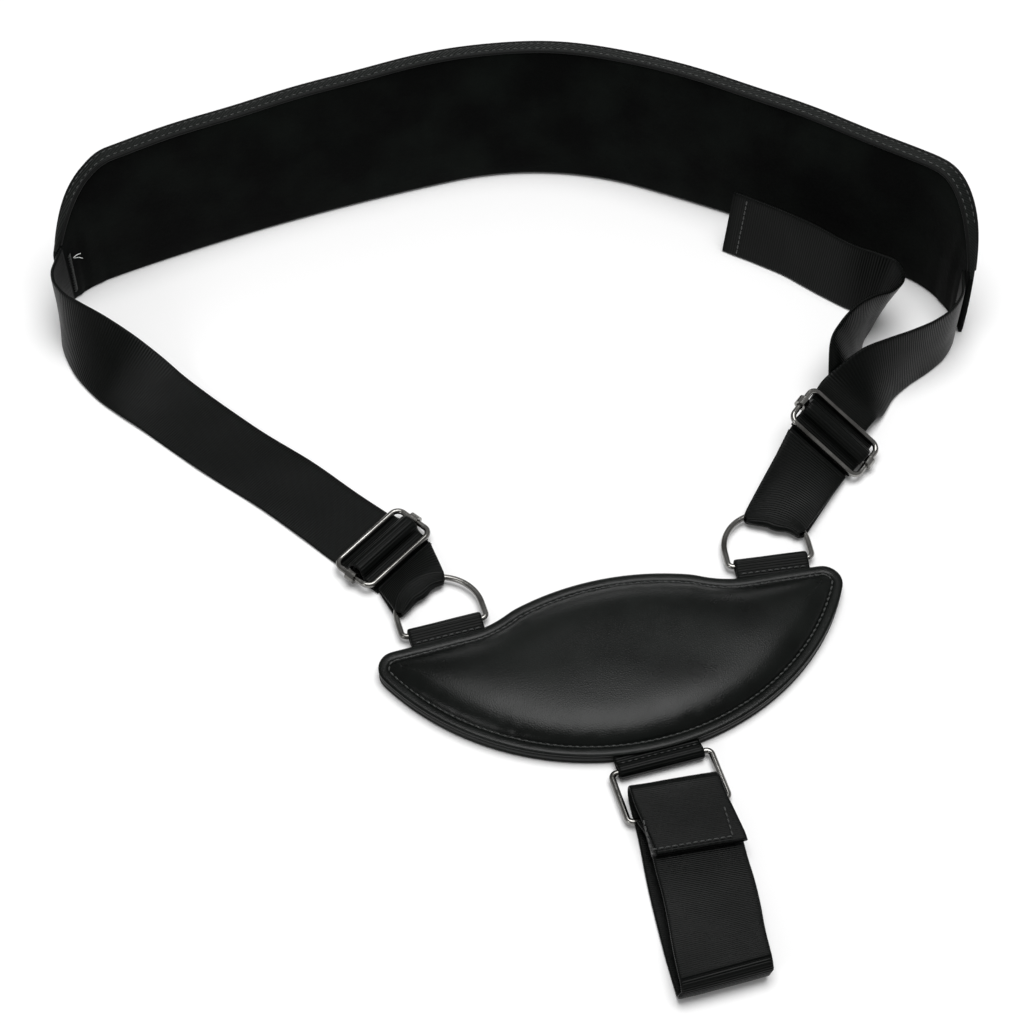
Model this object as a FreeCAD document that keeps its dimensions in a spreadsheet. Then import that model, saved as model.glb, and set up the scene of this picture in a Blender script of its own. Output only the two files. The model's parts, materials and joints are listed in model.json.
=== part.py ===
import FreeCAD, Part
import math
import os

from FreeCAD import Placement, Rotation, Vector

# Saxophone neck strap, lying in use order on a table: padded neck band at the back, a webbing
# run with an adjuster on each side, a padded crescent in front and a webbing loop below it.
# Millimetres.  +Z is up, +Y points from the crescent to the neck band.

os.makedirs("parts", exist_ok=True)
doc = FreeCAD.newDocument("neck_strap")
sheet = doc.addObject("Spreadsheet::Sheet", "sizes")

DIMENSIONS = [
    ("webbing_width", 32.0, "side webbing, 1 1/4 inch"),
    ("webbing_thick", 1.4, "woven webbing"),
    ("band_height", 67.0, "neck band, floor edge to top edge"),
    ("band_end_height", 33.0, "neck band where it meets the webbing"),
    ("band_taper", 34.0, "length over which the band's ends come down"),
    ("band_thick", 10.0, "neck band, over all layers"),
    ("band_skin", 1.2, "lining and outer mesh"),
    ("band_binding", 2.5, "edge binding, seen from the face"),
    ("band_lean", 7.0, "outward lean of the band's middle, degrees"),
    ("crescent_half", 94.5, "crescent, centre to tip"),
    ("crescent_rise", 21.3, "crescent, long axis to the top of its upper edge"),
    ("crescent_drop", 61.2, "crescent, long axis to the bottom of its lower edge"),
    ("crescent_skin", 1.4, "front and back cover"),
    ("crescent_board", 3.2, "stiffener between the covers"),
    ("crescent_border", 5.5, "flat stitched border"),
    ("crescent_foam", 6.5, "foam dome above the stiffener"),
    ("crescent_turn", 13.8, "heading of the crescent's long axis, degrees"),
    ("wire_thick", 2.4, "rings and adjuster frames"),
    ("tab_width", 30.0, "webbing tabs of the D rings"),
    ("loop_tab_width", 34.0, "webbing tab of the lower ring"),
    ("dee_half", 17.3, "D ring, centre to side wire"),
    ("dee_straight", 7.7, "D ring, bar to the start of the arch"),
    ("ring_half", 19.9, "lower ring, centre to side wire"),
    ("ring_depth", 22.0, "lower ring, bar to bar"),
    ("slider_half", 18.6, "adjuster frame, centre to short side"),
    ("slider_depth", 18.6, "adjuster frame, long bar to long bar"),
    ("slider_rise", 4.7, "adjuster frame's mid plane above the webbing's underside"),
    ("bar_thick", 2.2, "adjuster's centre bar"),
    ("loop_width", 34.6, "lower loop webbing"),
    ("loop_thick", 1.5, "lower loop webbing"),
    ("loop_reach", 71.0, "lower ring to the centre of the loop's bottom bend"),
    ("patch_thick", 0.9, "hook and pile patches"),
    ("stitch_thick", 0.8, "sewing thread rows"),
    ("stitch_inset", 3.2, "crescent's edge to its row of stitches"),
]
for row, (alias, value, note) in enumerate(DIMENSIONS, start=1):
    sheet.set(f"A{row}", alias)
    sheet.set(f"B{row}", str(value))
    sheet.set(f"C{row}", note)
    sheet.setAlias(f"B{row}", alias)
doc.recompute()


def size(alias):
    """A driving dimension, read from the sheet."""
    return float(getattr(sheet, alias))


# ---------------------------------------------------------------- places of the assemblies
FRAME_SHIFT = Vector(-0.3, 3.0, 0.0)  # puts the origin under the middle of the whole strap
RING_PLANE = 3.0  # height of the lower ring's mid plane above the table
DEE_PLANE = 3.6  # height of the D rings' mid plane, which leaves them room to lift

CRESCENT = Placement(
    FRAME_SHIFT + Vector(39.9, -59.4, 0.0), Rotation(Vector(0, 0, 1), size("crescent_turn"))
)


def at(frame, x, y, z=0.0, yaw=0.0, pitch=0.0, roll=0.0):
    """A placement given in another placement's axes; angles in degrees."""
    return frame.multiply(Placement(Vector(x, y, z), Rotation(yaw, pitch, roll)))


TABLE = Placement(FRAME_SHIFT, Rotation())
LEFT_DEE = at(CRESCENT, -64.8, 14.5, DEE_PLANE, yaw=3.0)
RIGHT_DEE = at(CRESCENT, 70.2, 14.5, DEE_PLANE, yaw=-5.0)
LOWER_RING = at(CRESCENT, 1.0, -65.5, RING_PLANE, yaw=2.5)
LOOP = at(LOWER_RING, -0.3, -size("ring_depth"), 0.0, yaw=-5.5)
# adjusters: local X runs along the webbing toward the crescent, local Z is out of the webbing
LEFT_SLIDER = at(TABLE, -52.2, -22.0, size("slider_rise"), yaw=-40.5)
RIGHT_SLIDER = at(TABLE, 134.6, 31.8, 13.1, yaw=-125.0, pitch=4.0, roll=-28.0)


# ---------------------------------------------------------------- helpers
UP = Vector(0, 0, 1)
ALONG_X = Rotation(UP, Vector(1, 0, 0))
ALONG_Y = Rotation(UP, Vector(0, 1, 0))
SUB_PARTS = []


def finish(piece, label, placement=None):
    """Names a finished sub-part, and puts it in its place."""
    piece.Label = label
    if placement is not None:
        piece.Placement = placement
    SUB_PARTS.append(piece)
    return piece


def feature(label, shape, placement=None):
    piece = doc.addObject("Part::Feature", label)
    piece.Shape = shape
    return finish(piece, label, placement or Placement())


def sketch(name, edges):
    outline = doc.addObject("Sketcher::SketchObject", name)
    for edge in edges:
        outline.addGeometry(edge, False)
    return outline


def line(a, b):
    return Part.LineSegment(Vector(*a, 0.0), Vector(*b, 0.0))


def arc(a, middle, b):
    return Part.Arc(Vector(*a, 0.0), Vector(*middle, 0.0), Vector(*b, 0.0))


def fillet_corner(centre, radius, start, end):
    """A round corner as an arc, with its angles in degrees."""
    points = []
    for angle in (start, (start + end) / 2.0, end):
        turned = math.radians(angle)
        points.append((centre[0] + radius * math.cos(turned), centre[1] + radius * math.sin(turned)))
    return arc(*points)


def extrude(name, base, formula):
    """Part::Extrusion of a sketch along its normal, with its length bound to the sheet."""
    solid = doc.addObject("Part::Extrusion", name)
    solid.Base = base
    solid.DirMode = "Custom"
    solid.Dir = UP
    solid.Solid = True
    solid.setExpression("LengthFwd", f"sizes.{formula}")
    return solid


def rounded_loop(half_width, low, high, radius):
    """Edges of a rectangle with round corners, from x = -half_width to half_width."""
    x = half_width
    return [
        line((-x + radius, low), (x - radius, low)),
        fillet_corner((x - radius, low + radius), radius, -90, 0),
        line((x, low + radius), (x, high - radius)),
        fillet_corner((x - radius, high - radius), radius, 0, 90),
        line((x - radius, high), (-x + radius, high)),
        fillet_corner((-x + radius, high - radius), radius, 90, 180),
        line((-x, high - radius), (-x, low + radius)),
        fillet_corner((-x + radius, low + radius), radius, 180, 270),
    ]


def wire_ring(label, edges, placement):
    """Round wire bent along a closed sketch whose first edge is a straight one along X."""
    spine = sketch(label + "_path", edges)
    start = edges[0].StartPoint
    section = doc.addObject("Part::Circle", label + "_section")
    section.setExpression("Radius", "sizes.wire_thick / 2")
    section.Placement = Placement(start, ALONG_X)
    ring = doc.addObject("Part::Sweep", label)
    ring.Sections = [section]
    ring.Spine = (spine, [f"Edge{number + 1}" for number in range(len(edges))])
    ring.Solid = True
    ring.Frenet = False
    return finish(ring, label, placement)


def ribbon_solid(stations, thickness):
    """A flat strap lofted through its stations: (centre, half width vector, tangent)."""
    sections = []
    for centre, across, tangent in stations:
        normal = across.cross(tangent)
        normal.normalize()
        lift = normal * (thickness / 2.0)
        corners = [centre - across - lift, centre + across - lift, centre + across + lift,
                   centre - across + lift]
        sections.append(Part.makePolygon(corners + [corners[0]]))
    return Part.makeLoft(sections, True, True)


def tangents(points):
    """Directions at the points of a polyline: the mean of the runs on both sides."""
    found = []
    for index in range(len(points)):
        before = points[max(index - 1, 0)]
        after = points[min(index + 1, len(points) - 1)]
        direction = after.sub(before)
        direction.normalize()
        found.append(direction)
    return found


def with_tangents(places):
    """Stations from (centre, half width vector), each with the direction of the strap there."""
    directions = tangents([centre for centre, across in places])
    return [(centre, across, direction) for (centre, across), direction in zip(places, directions)]


def strap_stations(route, half_width, inside):
    """Stations of a strap from (x, y, z of the lower edge, roll).

    A roll of 90 degrees stands it on its edge and 0 lays it flat; inside is +1 where the
    upper edge tips to the left of the way along, and -1 to the right.
    """
    flat = [Vector(x, y, 0.0) for x, y, z, roll in route]
    places = []
    for (x, y, z, roll), heading in zip(route, tangents(flat)):
        side = Vector(-heading.y, heading.x, 0.0) * inside
        tilt = math.radians(roll)
        across = (side * math.cos(tilt) + UP * math.sin(tilt)) * half_width
        lift = abs(half_width) * math.sin(tilt) + size("webbing_thick") / 2.0 * abs(math.cos(tilt))
        places.append((Vector(x, y, z + lift) + FRAME_SHIFT, across))
    return with_tangents(places)


def framed_places(frame, route):
    """Places given as (x, z, half width) in an assembly's own axes, lying across local Y."""
    turn = frame.Rotation
    return [(frame.multVec(Vector(x, 0.0, z)), turn.multVec(Vector(0.0, half_width, 0.0)))
            for x, z, half_width in route]


# ---------------------------------------------------------------- neck band
BAND_START = Vector(-195.5, 115.5, 0.0)
BAND_HEADING = 61.0
BAND_ARCS = [(23.0, -34.0), (164.0, -10.0), (88.0, -39.0), (128.0, -8.0), (40.0, -55.0)]
SEAM_LIFT = 0.6  # keeps a seam's flat thread clear of the lining it runs across
BAND_END_SHARE = 0.5  # the band's ends are this much of its full thickness
BAND_STEP = 7.0  # spacing of the band's sections along its curve
BAND_LENGTH = sum(length for length, turn in BAND_ARCS)


def band_place(travelled):
    """Foot of the band and its heading at a distance along it from the left end."""
    point = Vector(BAND_START)
    heading = math.radians(BAND_HEADING)
    left = travelled
    for length, turn in BAND_ARCS:
        run = min(left, length)
        bend = math.radians(turn) * run / length
        chord = run * math.sin(bend / 2.0) / (bend / 2.0) if run > 0.0 else 0.0
        point += Vector(math.cos(heading + bend / 2.0), math.sin(heading + bend / 2.0), 0.0) * chord
        heading += bend
        left -= run
    return point, heading


def band_rise(travelled):
    """How full the band is at a distance along it: 1 in the middle, 0 at both ends."""
    from_end = min(travelled, BAND_LENGTH - travelled)
    return math.sin(min(1.0, from_end / size("band_taper")) * math.pi / 2.0)


def band_top(travelled):
    """Height of the band at a distance along it: its ends come down to the webbing."""
    low = size("band_end_height")
    return low + (size("band_height") - low) * band_rise(travelled)


def band_section(travelled, inner, outer, low, high):
    """A cross-section of the leaning band between two depths and two heights."""
    point, heading = band_place(travelled)
    lean = math.radians(size("band_lean")) * math.sin(math.pi * travelled / BAND_LENGTH)
    plump = BAND_END_SHARE + (1.0 - BAND_END_SHARE) * band_rise(travelled)
    foot = point + FRAME_SHIFT + UP * (size("band_thick") * math.sin(lean))
    out = Vector(-math.sin(heading), math.cos(heading), 0.0)
    across = out * math.cos(lean) - UP * math.sin(lean)
    upright = out * math.sin(lean) + UP * math.cos(lean)
    near = across * inner * plump
    far = across * outer * plump
    corners = [foot + near + upright * low, foot + far + upright * low,
               foot + far + upright * high, foot + near + upright * high]
    return Part.makePolygon(corners + [corners[0]])


def band_layer(inner, outer, inset):
    """One layer of the band between two depths, its outline pulled in by inset."""
    steps = round((BAND_LENGTH - 2.0 * inset) / BAND_STEP)
    sections = []
    for number in range(steps + 1):
        travelled = inset + (BAND_LENGTH - 2.0 * inset) * number / steps
        sections.append(band_section(travelled, inner, outer, inset, band_top(travelled) - inset))
    return Part.makeLoft(sections, True, True)


def band_seam(start, low, high):
    """A row of thread across the band's lining, where a webbing run is sewn in."""
    thread = size("stitch_thick")
    sections = [band_section(start, -thread - SEAM_LIFT, -SEAM_LIFT, low, high),
                band_section(start + thread, -thread - SEAM_LIFT, -SEAM_LIFT, low, high)]
    return Part.makeLoft(sections, True, True)


skin = size("band_skin")
binding = size("band_binding")
thick = size("band_thick")
feature("band_lining", band_layer(0.0, skin, binding))
feature("band_foam", band_layer(skin, thick - skin, binding))
feature("band_mesh", band_layer(thick - skin, thick, binding))
feature("band_binding", band_layer(0.0, thick, 0.0).cut(band_layer(-1.0, thick + 1.0, binding)))
seam_height = size("band_end_height") - 2.0 * binding
feature("left_band_seam", band_seam(2.0 * binding, 2.0 * binding, seam_height))
feature("right_band_seam", band_seam(BAND_LENGTH - 2.0 * binding, 2.0 * binding, seam_height))

# ---------------------------------------------------------------- side webbing
half_webbing = size("webbing_width") / 2.0
webbing = size("webbing_thick")
under_slider = webbing / 2.0 - size("slider_rise")  # the running webbing's mid plane

LEFT_ROUTE = [
    (-196.0, 113.5, 1.0, 92.0),
    (-197.5, 107.0, 0.5, 92.0),
    (-196.8, 100.0, 0.0, 88.0),
    (-193.5, 92.5, 0.0, 80.0),
    (-187.8, 85.5, 0.0, 68.0),
    (-180.5, 79.0, 0.0, 52.0),
    (-170.5, 72.0, 0.0, 33.0),
    (-159.5, 65.0, 0.0, 16.0),
    (-146.5, 55.5, 0.0, 3.0),
    (-120.0, 33.5, 0.0, 0.0),
]
RIGHT_ROUTE = [
    (193.5, 100.5, 1.5, 90.0),
    (192.5, 92.5, 1.0, 90.0),
    (187.0, 84.0, 0.5, 89.0),
    (179.0, 77.0, 0.0, 87.0),
    (170.0, 71.0, 0.0, 83.0),
    (160.5, 64.5, 0.5, 74.0),
    (152.0, 57.5, 1.5, 56.0),
]
TAIL_ROUTE = [
    (143.0, 63.8, 4.0, 55.8),
    (147.5, 74.0, 2.0, 68.0),
    (155.0, 84.5, 1.0, 86.0),
    (162.5, 93.0, 0.5, 106.0),
    (169.5, 102.0, 0.0, 118.0),
    (173.0, 112.0, 0.0, 122.0),
    (171.5, 121.5, 0.0, 118.0),
    (165.0, 126.5, 0.0, 112.0),
    (155.5, 125.0, 0.0, 106.0),
    (146.0, 126.0, 0.0, 103.0),
    (126.0, 138.0, 0.0, 102.0),
    (98.0, 154.5, 0.0, 102.0),
]


def slider_stretch(frame, start, end):
    """The straight stretch of running webbing that an adjuster rides on."""
    return with_tangents(framed_places(frame, [(start, under_slider, half_webbing),
                                               (end, under_slider, half_webbing)]))


SLIDER_CLEAR = 13.6  # half the length that an adjuster and the webbing in it need
LEFT_STRAIGHT = 56.0  # running webbing behind the adjuster that stays straight for it to slide on
RIGHT_STRAIGHT = 22.5
RIGHT_TRAVEL = 8.0
LEFT_LINK = SLIDER_CLEAR  # from the adjuster's centre to the webbing that turns at the D ring
RIGHT_LINK = 20.4
GAP = 0.4  # between two stretches of one webbing that move on different bodies

left_run = strap_stations(LEFT_ROUTE, half_webbing, 1)
left_run += slider_stretch(LEFT_SLIDER, -LEFT_STRAIGHT, LEFT_LINK - GAP)
feature("left_webbing", ribbon_solid(left_run, webbing))
right_run = strap_stations(RIGHT_ROUTE, -half_webbing, -1)
right_run += slider_stretch(RIGHT_SLIDER, -RIGHT_STRAIGHT, RIGHT_LINK - GAP)
feature("right_webbing", ribbon_solid(right_run, webbing))

return_level = under_slider + webbing + GAP  # mid plane of the webbing coming back from a D ring
tail_level = under_slider - webbing - 2.0 * GAP  # the tail comes out beneath the running webbing
tail_start = -SLIDER_CLEAR - RIGHT_TRAVEL - GAP
tail_way = RIGHT_SLIDER.Rotation.multVec(Vector(-1, 0, 0))
tail_run = [(*place, tail_way)
            for place in framed_places(RIGHT_SLIDER, [(tail_start, tail_level, -half_webbing)])]
tail_run += strap_stations(TAIL_ROUTE, half_webbing, 1)
feature("right_tail", ribbon_solid(tail_run, webbing))

# ---------------------------------------------------------------- crescent
half = size("crescent_half")
NECK = (0.40 * half, 14.6)  # the crown's arc ends here, and the hollow of the upper edge begins
HOLLOW = (0.48 * half, 10.9)
SHOULDER = (0.57 * half, 8.6)  # the upper edge runs straight from here to the tip
TIP_HIGH = (0.947 * half, 6.6)
TIP = (half, 1.5)
TIP_LOW = (0.995 * half, -5.0)


def on_side(side, point):
    """A point of the crescent's right half, or its mirror image."""
    return (side * point[0], point[1])


def crescent_edges(side):
    """The upper edge of one half of the crescent, from the neck to the tip."""
    neck, hollow, shoulder, tip_high, tip, tip_low = [
        on_side(side, point) for point in (NECK, HOLLOW, SHOULDER, TIP_HIGH, TIP, TIP_LOW)
    ]
    return [arc(neck, hollow, shoulder), line(shoulder, tip_high), arc(tip_high, tip, tip_low)]


crown = [arc(on_side(-1, NECK), (0.0, size("crescent_rise")), NECK)]
belly = [arc(TIP_LOW, (0.0, -size("crescent_drop")), on_side(-1, TIP_LOW))]
outline = sketch("crescent_outline", crown + crescent_edges(1) + belly + crescent_edges(-1))


def shrunk(name, formula):
    """The crescent's outline moved inward by an amount bound to the sheet."""
    inner = doc.addObject("Part::Offset2D", name)
    inner.Source = outline
    inner.setExpression("Value", formula)
    return inner


def lifted(base, name, source, alias, height):
    """An extrusion of the outline standing on a height of the crescent's own axes."""
    solid = extrude(name, source, alias)
    solid.Placement = at(base, 0.0, 0.0, height)
    return solid


def cut(label, base, tool):
    piece = doc.addObject("Part::Cut", label)
    piece.Base = base
    piece.Tool = tool
    return finish(piece, label)


cover = size("crescent_skin")
board_top = cover + size("crescent_board")
finish(extrude("crescent_back_cover", outline, "crescent_skin"), "crescent_back_cover", CRESCENT)

board = lifted(CRESCENT, "board_blank", outline, "crescent_board", cover)
TAB_BITE = 8.5  # length of a tab inside the crescent
STANDOFF = {1: 6.5, -1: 4.3}  # from the crescent's edge to the bar: D rings above, ring below
SLOT_CLEAR = 0.2  # between a tab's edge and the side of its slot
SLOT_DEEPER = 1.0  # a slot is cut this much deeper than its tab reaches


def notch(name, frame, depth, alias, side):
    """The slot that a webbing tab leaves in the stiffener."""
    slot = doc.addObject("Part::Box", name)
    slot.setExpression("Length", f"sizes.{alias} + {2.0 * SLOT_CLEAR}")
    slot.setExpression("Height", "sizes.crescent_board")
    slot.Width = depth + STANDOFF[side] + SLOT_DEEPER
    low = -slot.Width.Value if side > 0 else 0.0
    slot.Placement = at(frame, -size(alias) / 2.0 - SLOT_CLEAR, low, cover - frame.Base.z)
    return slot


slots = doc.addObject("Part::MultiFuse", "board_slots")
slots.Shapes = [
    notch("left_slot", LEFT_DEE, TAB_BITE, "tab_width", 1),
    notch("right_slot", RIGHT_DEE, TAB_BITE, "tab_width", 1),
    notch("lower_slot", LOWER_RING, TAB_BITE, "loop_tab_width", -1),
]
cut("crescent_board", board, slots)

DOME_SLOPE = -45.0  # taper of the dome's sides, degrees
dome = shrunk("dome_outline", "-sizes.crescent_border")
foam = lifted(CRESCENT, "crescent_foam", dome, "crescent_foam", board_top)
foam.TaperAngle = DOME_SLOPE
finish(foam, "crescent_foam")

flange = lifted(CRESCENT, "cover_flange", outline, "crescent_skin", board_top)
shell_outline = shrunk("shell_outline", "-(sizes.crescent_border - 1.25 * sizes.crescent_skin)")
shell = extrude("cover_dome", shell_outline, "crescent_foam + sizes.crescent_skin")
shell.TaperAngle = DOME_SLOPE
shell.Placement = at(CRESCENT, 0.0, 0.0, board_top)
domed = doc.addObject("Part::Fuse", "cover_solid")
domed.Base = flange
domed.Tool = shell
foam_space = lifted(CRESCENT, "foam_space", dome, "crescent_foam", board_top)
foam_space.TaperAngle = DOME_SLOPE
cut("crescent_front_cover", domed, foam_space)

border_line = shrunk("thread_line", "-sizes.stitch_inset")
inside_line = shrunk("thread_inside", "-(sizes.stitch_inset + sizes.stitch_thick)")
thread_level = board_top + cover
thread_outer = lifted(CRESCENT, "thread_outer", border_line, "stitch_thick", thread_level)
thread_inner = lifted(CRESCENT, "thread_inner", inside_line, "stitch_thick", thread_level)
cut("crescent_stitching", thread_outer, thread_inner)

# ---------------------------------------------------------------- tabs and rings
TAB_LOOP = 1.45  # inner radius of a tab's fold round a ring's bar
LAYER_GAP = 0.05
PINCH_SHORT = 0.5  # a tab's two layers meet this much outside the crescent's edge


def profile_turn(side):
    """Turns a profile drawn outward and up into an assembly's -Y or +Y direction."""
    return Rotation(UP, 90.0 * side).multiply(Rotation(Vector(1, 0, 0), 90.0))


def folded_tab(label, frame, alias, side):
    """Webbing folded round a bar: drawn as a hairpin, extruded to the tab's width."""
    drop = cover + size("crescent_board") / 2.0 - frame.Base.z
    fold = TAB_LOOP + webbing
    end = -STANDOFF[side] - TAB_BITE
    pinch = STANDOFF[side] - PINCH_SHORT
    high = drop + LAYER_GAP
    low = drop - LAYER_GAP
    edges = [
        line((end, high), (-pinch, high)),
        line((-pinch, high), (0.0, TAB_LOOP)),
        arc((0.0, TAB_LOOP), (TAB_LOOP, 0.0), (0.0, -TAB_LOOP)),
        line((0.0, -TAB_LOOP), (-pinch, low)),
        line((-pinch, low), (end, low)),
        line((end, low), (end, low - webbing)),
        line((end, low - webbing), (-pinch, low - webbing)),
        line((-pinch, low - webbing), (0.0, -fold)),
        arc((0.0, -fold), (fold, 0.0), (0.0, fold)),
        line((0.0, fold), (-pinch, high + webbing)),
        line((-pinch, high + webbing), (end, high + webbing)),
        line((end, high + webbing), (end, high)),
    ]
    tab = extrude(label, sketch(label + "_profile", edges), alias)
    tab.Symmetric = True
    placed = frame.multiply(Placement(Vector(), profile_turn(side)))
    return finish(tab, label, placed)


folded_tab("left_tab", LEFT_DEE, "tab_width", 1)
folded_tab("right_tab", RIGHT_DEE, "tab_width", 1)
folded_tab("lower_tab", LOWER_RING, "loop_tab_width", -1)

CORNER = 2.2  # bend of the ring wires
x = size("dee_half")
straight = size("dee_straight")
dee_edges = [
    line((-x + CORNER, 0.0), (x - CORNER, 0.0)),
    fillet_corner((x - CORNER, CORNER), CORNER, -90, 0),
    line((x, CORNER), (x, straight)),
    arc((x, straight), (0.0, straight + x), (-x, straight)),
    line((-x, straight), (-x, CORNER)),
    fillet_corner((-x + CORNER, CORNER), CORNER, 180, 270),
]
wire_ring("left_d_ring", dee_edges, LEFT_DEE)
wire_ring("right_d_ring", dee_edges, RIGHT_DEE)
wire_ring("lower_ring", rounded_loop(size("ring_half"), -size("ring_depth"), 0.0, CORNER), LOWER_RING)

# ---------------------------------------------------------------- webbing turned at the D rings
LINK_RADIUS = 2.8  # mid line of the fold round the arch of a D ring
FOLD_HALF = 8.0  # the webbing bunches to this half width at the arch
FOLD_STEPS = 6
SLACK = 0.5  # the turning webbing is this much narrower on each side than the webbing it joins
RING_LEAD = 2.0  # the webbing starts to bunch this far before it crosses the arch


def turned_webbing(label, slider, start, dee, crossing, fold):
    """Webbing from an adjuster through a D ring and back, bunched where it turns.

    crossing and fold are points in the ring's axes: where the webbing passes the arch, and the
    middle of its fold inside the ring.
    """
    heading = Vector(fold[0] - crossing[0], fold[1] - crossing[1], 0.0)
    lead = -heading.Length - RING_LEAD
    heading.normalize()
    sideways = Vector(-heading.y, heading.x, 0.0)
    near = half_webbing - SLACK

    def in_ring(along, height, half_width):
        point = Vector(fold[0], fold[1], height) + heading * along
        return dee.multVec(point), dee.Rotation.multVec(sideways * half_width)

    places = framed_places(slider, [(start, under_slider, near)])
    places.append(in_ring(lead, -LINK_RADIUS, (FOLD_HALF + near) / 2.0))
    for step in range(FOLD_STEPS + 1):
        angle = math.pi * step / FOLD_STEPS
        places.append(in_ring(LINK_RADIUS * math.sin(angle), -LINK_RADIUS * math.cos(angle),
                              FOLD_HALF))
    places.append(in_ring(lead, LINK_RADIUS, (FOLD_HALF + near) / 2.0))
    places += framed_places(slider, [(start, return_level, near)])
    return feature(label, ribbon_solid(with_tangents(places), webbing))


LEFT_CROSSING = (-4.0, 23.0)
LEFT_FOLD = (1.0, 15.5)
RIGHT_CROSSING = (6.0, 23.5)
RIGHT_FOLD = (1.5, 15.0)
turned_webbing("left_webbing_turn", LEFT_SLIDER, LEFT_LINK, LEFT_DEE, LEFT_CROSSING, LEFT_FOLD)
turned_webbing("right_webbing_turn", RIGHT_SLIDER, RIGHT_LINK, RIGHT_DEE, RIGHT_CROSSING, RIGHT_FOLD)

# ---------------------------------------------------------------- adjusters
CURL_LENGTH = 4.0
CURL_INNER = 1.45
CURL_OUTER = 2.5
ROD_BITE = 0.4  # the rod ends this far inside the curls it is one piece with
BAR_FIT = 0.2
WRAP_HALF = 14.8  # half width of what is wrapped round the centre bar between its curled ends
BIGHT_INNER = 3.0
TONGUE_LENGTH = 10.0  # from the bar's axis to the end of what is wrapped round it
HUMP_FOOT = 3.6  # from the bar's axis to where the returning webbing starts to climb
FRAME_CORNER = 3.5  # bend of the adjuster's wire


def cylinder(name, radius, length, placement):
    solid = doc.addObject("Part::Cylinder", name)
    solid.Radius = radius
    solid.Height = length
    solid.Placement = placement
    return solid


def tube(name, inner, outer, length, placement):
    bored = doc.addObject("Part::Cut", name)
    bored.Base = cylinder(name + "_outside", outer, length, placement)
    bored.Tool = cylinder(name + "_bore", inner, length, placement)
    return bored


def centre_bar(label, frame):
    """The adjuster's sliding bar, whose curled ends run on the short sides of the frame."""
    reach = size("slider_half") - CURL_INNER - ROD_BITE
    bar = cylinder(label + "_rod", size("bar_thick") / 2.0, 2.0 * reach,
                   frame.multiply(Placement(Vector(0, -reach, 0), ALONG_Y)))
    bar.setExpression("Radius", "sizes.bar_thick / 2")
    pieces = [bar]
    for side in (-1, 1):
        start = Vector(-CURL_LENGTH / 2.0, side * size("slider_half"), 0.0)
        placement = frame.multiply(Placement(start, ALONG_X))
        pieces.append(tube(f"{label}_curl_{side + 1}", CURL_INNER, CURL_OUTER, CURL_LENGTH, placement))
    whole = doc.addObject("Part::MultiFuse", label)
    whole.Shapes = pieces
    return finish(whole, label)


def sewn_end(label, frame):
    """The webbing's end, wrapped round the centre bar, with its tongue toward the D ring."""
    inner = size("bar_thick") / 2.0 + BAR_FIT
    wrap = tube(label + "_wrap", inner, inner + webbing, 2.0 * WRAP_HALF,
                frame.multiply(Placement(Vector(0, -WRAP_HALF, 0), ALONG_Y)))
    tongue = doc.addObject("Part::Box", label + "_tongue")
    tongue.Length = TONGUE_LENGTH
    tongue.Width = 2.0 * WRAP_HALF
    tongue.Height = webbing
    tongue.Placement = at(frame, 0.0, -WRAP_HALF, return_level - webbing / 2.0)
    whole = doc.addObject("Part::Fuse", label)
    whole.Base = wrap
    whole.Tool = tongue
    return finish(whole, label)


def over_bar(radius, steps):
    """A half circle of webbing over the centre bar, in the adjuster's axes."""
    angles = [math.pi * step / steps for step in range(steps + 1)]
    return [(radius * math.cos(angle), radius * math.sin(angle), WRAP_HALF) for angle in angles]


def tail_hump(label, frame):
    """The returning webbing, which climbs over the centre bar and leaves as the free tail."""
    rise = size("bar_thick") / 2.0 + BAR_FIT + webbing / 2.0
    climb = [(TONGUE_LENGTH, return_level, WRAP_HALF), (HUMP_FOOT, return_level, WRAP_HALF)]
    descent = [(-HUMP_FOOT, return_level, WRAP_HALF), (-TONGUE_LENGTH, return_level, WRAP_HALF)]
    places = framed_places(frame, climb + over_bar(rise, FOLD_STEPS) + descent)
    return feature(label, ribbon_solid(with_tangents(places), webbing))


def bight(label, frame):
    """The running webbing where it passes over the centre bar: a half tube."""
    places = framed_places(frame, over_bar(BIGHT_INNER + webbing / 2.0, 2 * FOLD_STEPS))
    return feature(label, ribbon_solid(with_tangents(places), webbing))


def frame_wire(label, frame):
    half_depth = size("slider_depth") / 2.0
    long_side = size("slider_half")
    edges = rounded_loop(half_depth, -long_side, long_side, FRAME_CORNER)
    return wire_ring(label, edges, frame)


frame_wire("left_slider_frame", LEFT_SLIDER)
centre_bar("left_slider_bar", LEFT_SLIDER)
sewn_end("left_webbing_end", LEFT_SLIDER)
bight("left_webbing_bight", LEFT_SLIDER)
frame_wire("right_slider_frame", RIGHT_SLIDER)
centre_bar("right_slider_bar", RIGHT_SLIDER)
tail_hump("right_tail_bight", RIGHT_SLIDER)
bight("right_webbing_bight", RIGHT_SLIDER)

# ---------------------------------------------------------------- lower loop
loop_half = size("loop_width") / 2.0
loop_thick = size("loop_thick")
patch = size("patch_thick")
reach = size("loop_reach")
back_level = loop_thick / 2.0 - RING_PLANE
front_level = 3.9
PATCH_CLEAR = 0.3  # between the two patches where they press together
flap_level = front_level + loop_thick + 2.0 * patch + PATCH_CLEAR
bottom_radius = 5.2
fold_radius = (flap_level - back_level) / 2.0
FOLD_START = 6.0  # the top bend begins this far inside the ring
FLAP_END = 21.0
FRONT_START = 4.0
FRONT_FLAT = 26.0
PATCH_START = 5.0
PATCH_END = 20.0
PATCH_MARGIN = 2.0  # from a patch's edge to the strap's


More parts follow.
